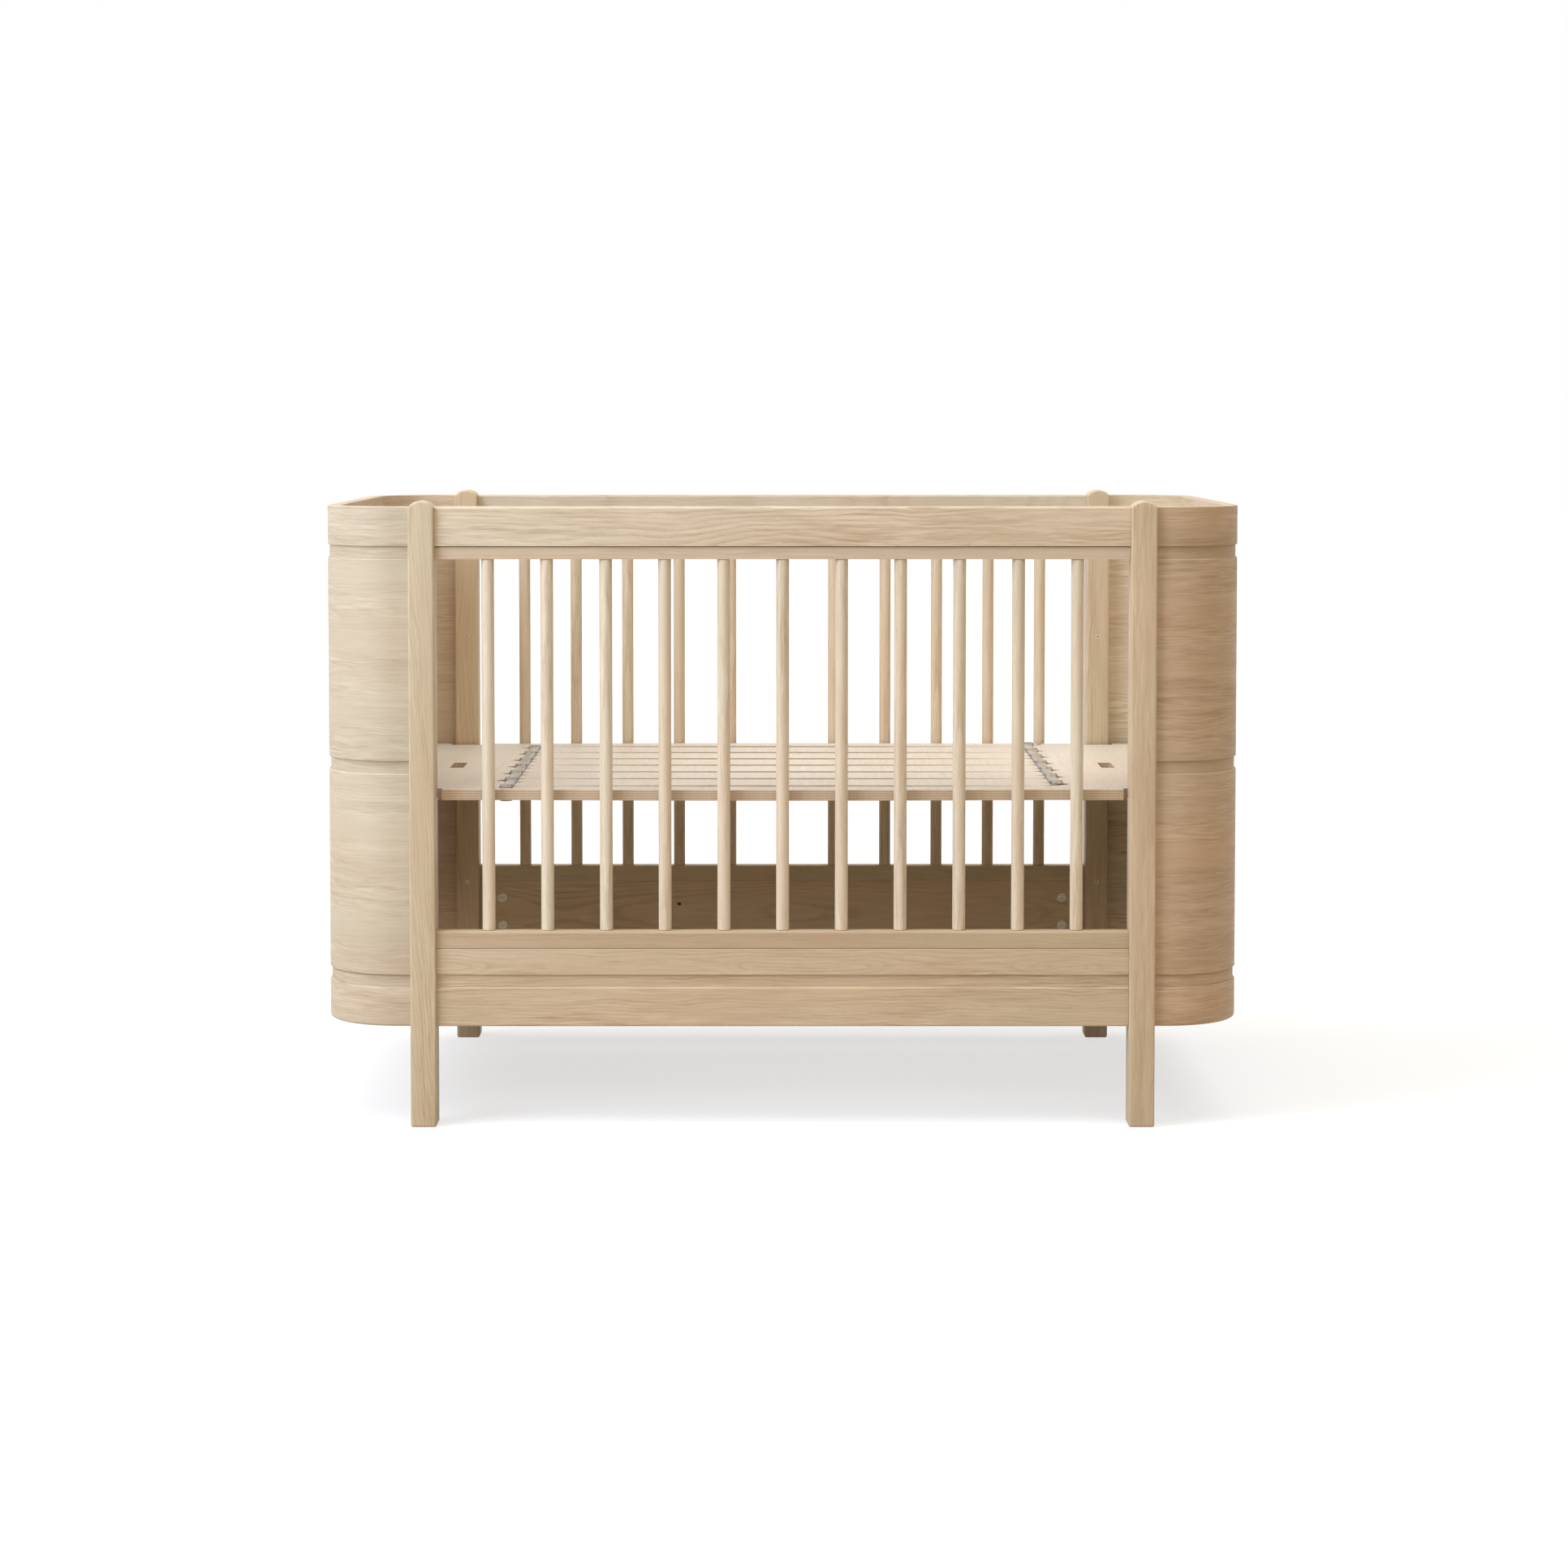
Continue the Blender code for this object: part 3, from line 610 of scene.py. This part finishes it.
class Nodes:
    """Short calls that add and link shader nodes in one tree."""

    def __init__(self, tree):
        """Keeps the tree that the calls add to."""
        self.tree = tree

    def put(self, socket, value):
        """Links a socket to this one, or sets this one to a plain value."""
        if isinstance(value, bpy.types.NodeSocket):
            self.tree.links.new(value, socket)
        else:
            socket.default_value = value

    def add(self, kind, inputs=(), **settings):
        """A new node with its settings and inputs."""
        node = self.tree.nodes.new(kind)
        for key, value in settings.items():
            setattr(node, key, value)
        for key, value in dict(inputs).items():
            self.put(node.inputs[key], value)
        return node

    def math(self, operation, a, b=0.0, c=0.0, clamp=False):
        """One sum on numbers."""
        inputs = {0: a, 1: b, 2: c}
        return self.add("ShaderNodeMath", inputs, operation=operation, use_clamp=clamp).outputs[0]

    def scaled(self, vector, x, y, z):
        """A place times a scale for each axis, which sets how fine a pattern is along it."""
        return self.add("ShaderNodeVectorMath", {0: vector, 1: (x, y, z)}, operation="MULTIPLY").outputs[0]

    def noise(self, vector, detail=2.0, roughness=0.5):
        """Noise from 0 to 1, about 0.5."""
        inputs = {"Vector": vector, "Scale": 1.0, "Detail": detail, "Roughness": roughness}
        return self.add("ShaderNodeTexNoise", inputs).outputs["Fac"]

    def wave(self, vector, detail=2.0, roughness=0.5):
        """Noise about zero, from -0.5 to 0.5."""
        return self.math("SUBTRACT", self.noise(vector, detail, roughness), 0.5)

    def split(self, vector):
        """A place's three parts."""
        return self.add("ShaderNodeSeparateXYZ", {0: vector}).outputs

    def vector(self, x, y, z):
        """A place from three parts."""
        return self.add("ShaderNodeCombineXYZ", {0: x, 1: y, 2: z}).outputs[0]

    def mix(self, factor, a, b, blend="MIX"):
        """Two colours blended by a factor."""
        node = self.add("ShaderNodeMix", data_type="RGBA", blend_type=blend)
        for socket, value in ((0, factor), (6, a), (7, b)):
            self.put(node.inputs[socket], value)
        return node.outputs[2]

    def remap(self, value, low, high, to_low=0.0, to_high=1.0):
        """low to high carried to to_low to to_high, and held at the ends."""
        inputs = {0: value, 1: low, 2: high, 3: to_low, 4: to_high}
        return self.add("ShaderNodeMapRange", inputs, clamp=True).outputs[0]

    def group(self, tree, inputs):
        """The outputs of a node group placed with these inputs."""
        return self.add("ShaderNodeGroup", inputs, node_tree=tree).outputs


def new_group(name, inputs, outputs):
    """A node group with the named sockets, the calls to fill it, and its own inputs and outputs."""
    tree = bpy.data.node_groups.new(name, "ShaderNodeTree")
    for label, kind, value in inputs:
        socket = tree.interface.new_socket(label, in_out="INPUT", socket_type="NodeSocket" + kind)
        if value is not None:
            socket.default_value = value
    for label, kind in outputs:
        tree.interface.new_socket(label, in_out="OUTPUT", socket_type="NodeSocket" + kind)
    nodes = Nodes(tree)
    return tree, nodes, nodes.add("NodeGroupInput").outputs, nodes.add("NodeGroupOutput").inputs


def oak_figure_group():
    """Oak's figure in board coordinates.

    Growth rings are cylinders round the tree's heart. The ring coordinate is the distance to a heart line
    that wanders along the board, so a face near the heart shows flames and one far from it shows stripes.
    Each ring starts with a dark line and fades. Fibres and pores are noise stretched along the grain, in
    patches, and slow noise shifts the tone and the hue.
    """
    tree, n, given, out = new_group(
        "oak_figure",
        [
            ("Board", "Vector", None),
            ("Pale", "Color", PALE_OAK),
            ("Dark", "Color", DARK_OAK),
            ("Rings", "Float", 0.45),
            ("Ring Density", "Float", 210.0),
            ("Fibres", "Float", 0.5),
            ("Pores", "Float", 0.2),
            ("Slow", "Float", 0.5),
            ("Streak Length", "Float", 0.11),
            ("Wander", "Float", 0.16),
        ],
        [("Color", "Color"), ("Roughness", "Float"), ("Height", "Float")],
    )
    board = given["Board"]
    along, through, across = n.split(board)
    wander = n.wave(n.scaled(board, 2.3, 2.0, 2.0))
    ripple = n.wave(n.scaled(board, 9.0, 26.0, 26.0), 2.0, 0.6)
    teeth = n.wave(n.scaled(board, 70.0, 420.0, 420.0), 1.0)
    side = n.math("MULTIPLY_ADD", ripple, GRAIN_RIPPLE, across)
    depth = n.math("MULTIPLY_ADD", wander, given["Wander"], through)
    ring = n.math("SQRT", n.math("MULTIPLY_ADD", side, side, n.math("MULTIPLY", depth, depth)))
    ring = n.math("MULTIPLY_ADD", teeth, RING_TEETH, ring)
    phase = n.math("FRACT", n.math("MULTIPLY", ring, given["Ring Density"]))
    fade = n.math("POWER", n.math("SUBTRACT", 1.0, phase), 2.2)
    rise = n.remap(phase, 0.0, 0.16)
    lengthwise = n.math("MULTIPLY", along, 2.0)
    uneven = n.noise(n.vector(n.math("MULTIPLY", ring, 75.0), lengthwise, 3.7))
    line = n.math("MULTIPLY", n.math("MULTIPLY", fade, rise), n.remap(uneven, 0.38, 0.64, 0.1, 1.3))
    streak = n.vector(n.math("DIVIDE", along, given["Streak Length"]), through, side)
    broad = n.wave(n.scaled(streak, 1.0, BROAD_FIBRES, BROAD_FIBRES), 3.0, 0.6)
    fine = n.wave(n.scaled(streak, 2.3, FINE_FIBRES, FINE_FIBRES), 2.0, 0.6)
    patch = n.remap(n.noise(n.scaled(board, 2.5, 22.0, 22.0)), 0.36, 0.66, 0.35, 1.75)
    fibres = n.math("MULTIPLY", n.math("ADD", broad, fine), patch)
    slow = n.wave(n.scaled(board, 3.0, 9.0, 17.0))
    pores = n.noise(n.scaled(board, 90.0, 1300.0, 1300.0))
    pore_mask = n.math("MULTIPLY", n.remap(pores, 0.60, 0.70), n.remap(fade, 0.0, 0.6, 0.2, 1.0))
    tone = n.math("MULTIPLY_ADD", line, given["Rings"], GROUND_TONE)
    tone = n.math("MULTIPLY_ADD", fibres, given["Fibres"], tone)
    tone = n.math("MULTIPLY_ADD", slow, given["Slow"], tone)
    tone = n.math("MULTIPLY_ADD", pore_mask, given["Pores"], tone, clamp=True)
    colour = n.mix(tone, given["Pale"], given["Dark"])
    blush = n.remap(n.noise(n.scaled(board, 3.1, 9.0, 9.0), 1.0), 0.35, 0.70, 0.0, 0.5)
    colour = n.mix(blush, colour, n.mix(1.0, colour, (1.06, 0.95, 0.92, 1.0), "MULTIPLY"))
    n.put(out["Color"], colour)
    n.put(out["Roughness"], n.math("MULTIPLY_ADD", fibres, 0.2, 0.52))
    n.put(out["Height"], n.math("MULTIPLY_ADD", fibres, 0.35, n.math("MULTIPLY", pore_mask, -1.0)))
    return tree


def ply_layers_group():
    """Plywood's cut edge: equal plies, in turn along and across, with a thin glue line between."""
    tree, n, given, out = new_group(
        "ply_layers",
        [
            ("Place", "Vector", None),
            ("Layer", "Float", 0.0),
            ("Long Ply", "Color", (0.66, 0.54, 0.41, 1.0)),
            ("Cross Ply", "Color", (0.52, 0.40, 0.29, 1.0)),
        ],
        [("Color", "Color")],
    )
    layer = n.math("MULTIPLY_ADD", n.wave(n.scaled(given["Place"], 14.0, 14.0, 14.0)), 0.3, given["Layer"])
    odd = n.math("GREATER_THAN", n.math("FRACT", n.math("MULTIPLY", layer, 0.5)), 0.5)
    edge = n.math("ABSOLUTE", n.math("SUBTRACT", n.math("FRACT", layer), 0.5))
    glue = n.remap(edge, 0.34, 0.5, 0.0, 0.35)
    streak = n.noise(n.scaled(given["Place"], 25.0, 25.0, 700.0), 2.0, 0.6)
    colour = n.mix(odd, given["Long Ply"], given["Cross Ply"])
    colour = n.mix(n.remap(streak, 0.35, 0.70, 0.0, 0.6), colour, given["Cross Ply"])
    n.put(out["Color"], n.mix(glue, colour, (0.36, 0.25, 0.17, 1.0)))
    return tree


def handling_wear_group():
    """Fine scratches and dull patches on metal and plastic."""
    tree, n, given, out = new_group(
        "handling_wear",
        [
            ("Place", "Vector", None),
            ("Base", "Color", (0.6, 0.6, 0.6, 1.0)),
            ("Dullness", "Float", 0.4),
        ],
        [("Color", "Color"), ("Roughness", "Float"), ("Height", "Float")],
    )
    patches = n.noise(n.scaled(given["Place"], 160.0, 160.0, 160.0), 3.0, 0.6)
    scratches = n.noise(n.scaled(given["Place"], 2400.0, 300.0, 2400.0))
    worn = n.mix(1.0, given["Base"], (0.66, 0.62, 0.56, 1.0), "MULTIPLY")
    n.put(out["Color"], n.mix(n.remap(patches, 0.35, 0.75, 0.0, 0.5), given["Base"], worn))
    uneven = n.math("SUBTRACT", patches, 0.5)
    n.put(out["Roughness"], n.math("MULTIPLY_ADD", uneven, 0.35, given["Dullness"]))
    n.put(out["Height"], scratches)
    return tree


def new_material(name):
    """A material, the calls that fill it, and its shader."""
    material = bpy.data.materials.new(name)
    material.use_nodes = True
    return material, Nodes(material.node_tree), material.node_tree.nodes["Principled BSDF"]


def bump(n, shader, height, distance, strength=0.5):
    """Feeds a height, in units of distance, to the shader's normal."""
    inputs = {"Height": height, "Distance": distance, "Strength": strength}
    n.put(shader.inputs["Normal"], n.add("ShaderNodeBump", inputs).outputs["Normal"])


def board_place(n, axes, offset):
    """Board coordinates, from the piece's own attribute or from object coordinates in that order of axes."""
    if axes == "board":
        place = n.add("ShaderNodeAttribute", attribute_name="board").outputs["Vector"]
    else:
        parts = n.split(n.add("ShaderNodeTexCoord").outputs["Object"])
        place = n.vector(*(parts["XYZ".index(axis)] for axis in axes))
    return n.add("ShaderNodeVectorMath", {0: place, 1: offset}, operation="ADD").outputs[0]


def toned(colour, tone):
    """The colour times a (red, green, blue) tone."""
    return tuple(part * factor for part, factor in zip(colour, tone)) + (1.0,)


def oak(name, axes, offset=(0.0, 0.0, 0.0), tone=(1.0, 1.0, 1.0), pale=PALE_OAK, dark=DARK_OAK, **figure):
    """Solid oak, oiled to a satin. figure sets the figure group's other inputs."""
    material, n, shader = new_material(name)
    place = board_place(n, axes, offset)
    inputs = {key.replace("_", " ").title(): value for key, value in figure.items()}
    inputs |= {"Board": place, "Pale": toned(pale, tone), "Dark": toned(dark, tone)}
    oak_out = n.group(OAK_FIGURE, inputs)
    n.put(shader.inputs["Base Color"], oak_out["Color"])
    n.put(shader.inputs["Roughness"], oak_out["Roughness"])
    shader.inputs["Specular IOR Level"].default_value = 0.35
    bump(n, shader, oak_out["Height"], 0.0002)
    return material, n, shader, place, oak_out


def bent_oak(name, inner, **settings):
    """An end shell: oak veneer round the bend, and the plies' edges along its rim and foot.

    inner is the tone of the inside face against the outside's: painted light, the inside made paler as where
    the key light falls into the shell, most on the right one.
    """
    material, n, shader, place, veneer = oak(name, "board", **settings)
    low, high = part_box("end_shell_left")
    _, inset, height = n.split(board_place(n, "board", (0.0, 0.0, 0.0)))
    layers = n.math("MULTIPLY", inset, SHELL_PLIES / SHELL_THICKNESS)
    plies = n.group(PLY_LAYERS, {"Place": place, "Layer": layers})
    rim = n.math("GREATER_THAN", height, high.z - SHELL_RIM_RADIUS * 0.6)
    foot = n.math("LESS_THAN", height, low.z + SHELL_RIM_RADIUS * 0.6)
    cut = n.math("MAXIMUM", rim, foot)
    inside = n.math("GREATER_THAN", inset, SHELL_THICKNESS * 0.8)
    # Painted light: the inside face lightened by the inner tone
    painted_light_lining = n.mix(1.0, veneer["Color"], (*inner, 1.0), "MULTIPLY")
    face = n.mix(inside, veneer["Color"], painted_light_lining)
    n.put(shader.inputs["Base Color"], n.mix(cut, face, plies["Color"]))
    return material


def plywood(name):
    """The base: a pale face veneer with its grain along Y, and striped edges."""
    material, n, shader, place, veneer = oak(
        name,
        "YZX",
        pale=(0.66, 0.63, 0.585, 1.0),
        dark=(0.48, 0.43, 0.365, 1.0),
        rings=0.25,
        fibres=0.35,
        pores=0.15,
        slow=0.4,
    )
    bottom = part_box("base_comb_left")[0].z
    height = n.split(n.add("ShaderNodeTexCoord").outputs["Object"])[2]
    level = n.math("SUBTRACT", height, bottom)
    layers = n.math("MULTIPLY", level, BASE_PLIES / BASE_THICKNESS)
    plies = n.group(PLY_LAYERS, {"Place": place, "Layer": layers})
    facing = n.math("ABSOLUTE", n.split(n.add("ShaderNodeNewGeometry").outputs["Normal"])[2])
    edge = n.math("LESS_THAN", facing, 0.5)
    n.put(shader.inputs["Base Color"], n.mix(edge, veneer["Color"], plies["Color"]))
    return material


def hardware(name, colour, dullness, metal):
    """Metal with handling wear."""
    material, n, shader = new_material(name)
    place = n.add("ShaderNodeTexCoord").outputs["Object"]
    wear = n.group(HANDLING_WEAR, {"Place": place, "Base": colour, "Dullness": dullness})
    n.put(shader.inputs["Base Color"], wear["Color"])
    n.put(shader.inputs["Roughness"], wear["Roughness"])
    shader.inputs["Metallic"].default_value = metal
    bump(n, shader, wear["Height"], 0.00003, 0.3)
    return material


def semi_clear(name):
    """The keeper strips' plastic: glossy grey, mottled with dark spots.

    A dark line follows the strip's inner edge, where |x| is smallest: painted shadow, standing for the shade
    in the gap there.
    """
    material, n, shader = new_material(name)
    place = n.add("ShaderNodeTexCoord").outputs["Object"]
    wear = n.group(HANDLING_WEAR, {"Place": place, "Base": (0.44, 0.40, 0.35, 1.0), "Dullness": 0.28})
    spots = n.noise(n.scaled(place, 330.0, 330.0, 330.0), 2.0, 0.6)
    side = n.math("ABSOLUTE", n.split(place)[0])
    # Painted shadow: a dark line along the inner edge, for the shade in the gap beside the strip
    line = n.math("LESS_THAN", side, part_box("keeper_strip_top_right")[0].x + KEEPER_SHADOW_LINE)
    dark = n.math("MAXIMUM", n.remap(spots, 0.50, 0.62, 0.0, 0.8), n.math("MULTIPLY", line, 0.9))
    n.put(shader.inputs["Base Color"], n.mix(dark, wear["Color"], (0.08, 0.05, 0.035, 1.0)))
    n.put(shader.inputs["Roughness"], wear["Roughness"])
    shader.inputs["Specular IOR Level"].default_value = 0.3
    bump(n, shader, spots, 0.0004, 0.5)
    return material


def make_finishes():
    """Every finish by name. Each board has its own tone (red, green, blue) and its own place in the tree;
    the end shells' colours also carry painted light.

    posts give (tone, figure), and lengthwise boards (offset, tone, figure).
    """
    posts = {
        "post_front_left": ((0.86, 0.87, 0.84), {"rings": 0.38, "ring_density": 230.0, "fibres": 0.85}),
        "post_front_right": ((0.93, 0.91, 0.88), {"rings": 0.35, "ring_density": 420.0, "fibres": 0.8}),
        "post_back_left": ((0.97, 0.94, 0.86), {"rings": 0.4}),
        "post_back_right": ((0.95, 0.94, 0.90), {"rings": 0.4}),
    }
    spindles = {"spindle_front": (1.07, 1.15, 1.24), "spindle_back": (1.10, 1.13, 1.15)}
    lengthwise = {
        "top_rail_front": ((0.0, 0.30, -0.80), (0.99, 1.03, 1.07), {"rings": 0.45, "fibres": 0.95}),
        "top_rail_back": ((3.0, 0.10, -0.86), (0.96, 1.02, 1.08), {"rings": 0.45}),
        "spindle_rail_top_front": ((5.0, 0.42, -0.60), (0.95, 0.96, 0.97), {"rings": 0.35}),
        "spindle_rail_top_back": ((8.0, 0.10, -0.60), (0.95, 0.96, 0.97), {"rings": 0.35}),
        "spindle_rail_bottom_front": ((11.0, 0.40, -0.10), (0.77, 0.73, 0.69), {"rings": 0.35}),
        "spindle_rail_bottom_back": ((14.0, 0.10, -0.20), (0.90, 0.88, 0.80), {"rings": 0.35}),
        "lower_panel_front": (
            (17.0, 0.36, -0.225),
            (0.88, 0.86, 0.84),
            {"rings": 0.42, "fibres": 0.85, "wander": 0.16},
        ),
        "lower_panel_back": ((21.0, -0.30, -0.20), (0.97, 0.93, 0.84), {"rings": 0.5}),
    }
    bent = {
        "streak_length": 0.09,
        "rings": 0.16,
        "wander": 0.05,
        "pores": 0.1,
        "offset": (0.0, 0.05, -0.30),
    }
    # Left shell paler, right shell browner: partly the veneers' own tones, partly painted light, the left
    # lit by the key and the right as in shade
    pale_lit_bent = bent | {
        "fibres": 0.9,
        "pale": (0.75, 0.67, 0.55, 1.0),
        "dark": (0.49, 0.385, 0.27, 1.0),
        "tone": (0.80, 0.82, 0.81),
    }
    brown_shaded_bent = bent | {
        "fibres": 1.0,
        "pale": (0.60, 0.49, 0.36, 1.0),
        "dark": (0.33, 0.23, 0.145, 1.0),
        "tone": (0.97, 0.93, 0.88),
    }
    finishes = {
        "oak_bent_left": bent_oak("oak_bent_left", (1.12, 1.02, 0.95), **pale_lit_bent),
        "oak_bent_right": bent_oak("oak_bent_right", (1.3, 1.48, 1.65), **brown_shaded_bent),
        "plywood": plywood("plywood"),
        "keeper": semi_clear("keeper"),
        "zinc": hardware("zinc", (0.80, 0.72, 0.58, 1.0), 0.34, 0.2),
        "steel": hardware("steel", (0.66, 0.65, 0.64, 1.0), 0.25, 1.0),
    }
    for name, (tone, figure) in posts.items():
        finishes[name] = oak("oak_" + name, "board", tone=tone, wander=0.05, **figure)[0]
    for name, tone in spindles.items():
        figure = {"rings": 0.45, "fibres": 0.8, "wander": 0.03}
        finishes[name] = oak("oak_" + name, "board", tone=tone, **figure)[0]
    for node, (offset, tone, figure) in lengthwise.items():
        figure = {"wander": 0.08} | figure
        finishes[node] = oak("oak_" + node, "XYZ", offset, tone=tone, **figure)[0]
    return finishes


def finish_nodes():
    """Gives the CAD nodes that stay their finishes: lengthwise boards, steel brackets and bolts."""
    for name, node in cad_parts.items():
        fitting = name.startswith(("base_bracket", "bracket_bolt"))
        finish = FINISHES.get("steel" if fitting else name)
        if finish:
            for slot in node.material_slots:
                slot.material = finish


# ---------------------------------------------------------------- studio


def seen_or_mirrored(n):
    """1 for light that goes straight to the camera or into a gloss, and 0 for light that wood scatters."""
    path = n.add("ShaderNodeLightPath").outputs
    return n.math("MAXIMUM", path["Is Camera Ray"], path["Is Glossy Ray"])


def make_floor():
    """A wide pale floor. Seen by the camera it also glows a little, as an overexposed studio floor does."""
    mesh = bpy.data.meshes.new("studio_floor")
    reach = FLOOR_REACH
    outline = [(-reach, -reach, 0.0), (reach, -reach, 0.0), (reach, reach, 0.0), (-reach, reach, 0.0)]
    mesh.from_pydata(outline, [], [(0, 1, 2, 3)])
    floor = bpy.data.objects.new("studio_floor", mesh)
    bpy.context.scene.collection.objects.link(floor)
    material, n, shader = new_material("studio_floor")
    place = n.add("ShaderNodeTexCoord").outputs["Object"]
    seen = seen_or_mirrored(n)
    tint = n.mix(n.noise(n.scaled(place, 0.8, 0.8, 0.8)), FLOOR_COLOUR, FLOOR_MOTTLE)
    n.put(shader.inputs["Base Color"], n.mix(seen, FLOOR_BOUNCE, tint))
    shader.inputs["Roughness"].default_value = 0.9
    shader.inputs["Specular IOR Level"].default_value = 0.0
    shader.inputs["Emission Color"].default_value = WHITE
    n.put(shader.inputs["Emission Strength"], n.math("MULTIPLY", seen, FLOOR_GLOW))
    mesh.materials.append(material)


def make_world():
    """A white backdrop for the camera, and a weaker soft light for everything else."""
    world = bpy.data.worlds.new("studio")
    world.use_nodes = True
    n = Nodes(world.node_tree)
    background = world.node_tree.nodes["Background"]
    seen = seen_or_mirrored(n)
    n.put(background.inputs["Color"], n.mix(seen, AMBIENT, WHITE))
    bpy.context.scene.world = world


def make_sun(name, direction, strength, spread, colour):
    """A broad soft lamp that shines from a direction. spread is its width in degrees."""
    lamp = bpy.data.lights.new(name, "SUN")
    lamp.energy = strength
    lamp.angle = math.radians(spread)
    lamp.color = colour
    sun = bpy.data.objects.new(name, lamp)
    x, y, z = direction
    sun.rotation_euler = (math.atan2(math.hypot(x, y), z), 0.0, math.atan2(y, x) + math.pi / 2)
    bpy.context.scene.collection.objects.link(sun)


def make_panel_light(name, place, aim, power, size, colour):
    """A square softbox at a place, aimed at a point of the crib."""
    lamp = bpy.data.lights.new(name, "AREA")
    lamp.energy = power
    lamp.size = size
    lamp.color = colour
    panel = bpy.data.objects.new(name, lamp)
    panel.location = place
    x, y, z = (start - end for start, end in zip(place, aim))
    panel.rotation_euler = (math.atan2(math.hypot(x, y), z), 0.0, math.atan2(y, x) + math.pi / 2)
    bpy.context.scene.collection.objects.link(panel)


def make_camera():
    """The camera in front of the crib, a little above its rim, looking slightly down."""
    lens = bpy.data.cameras.new("camera")
    lens.sensor_width = 36.0
    lens.lens = 79.11
    lens.shift_x = 0.00349
    lens.shift_y = -0.12
    camera = bpy.data.objects.new("camera", lens)
    camera.location = CAMERA_PLACE
    camera.rotation_euler = (math.radians(90.0 - CAMERA_DIP), 0.0, 0.0)
    bpy.context.scene.collection.objects.link(camera)
    bpy.context.scene.camera = camera


OAK_FIGURE = oak_figure_group()
PLY_LAYERS = ply_layers_group()
HANDLING_WEAR = handling_wear_group()
FINISHES = make_finishes()

make_camera()
make_world()
make_floor()
make_sun("overhead", (0.0, -0.10, 1.0), 2.3, 60.0, (1.0, 0.935, 0.81))
make_sun("left_key", (-0.66, -0.18, 0.72), 1.2, 30.0, (1.0, 0.96, 0.89))
make_sun("right_fill", (0.45, -0.65, 0.62), 0.58, 60.0, (1.0, 0.92, 0.87))
make_panel_light("left_softbox", (-2.2, -1.8, 1.8), (-0.2, 0.0, 0.6), 54.0, 1.6, (0.76, 0.85, 1.0))
bpy.context.scene.view_settings.view_transform = "Standard"

make_end_shells()
make_posts()
make_spindles()
make_combs()
make_keepers()
make_cams()
make_base_screws()
make_inserts()
finish_nodes()
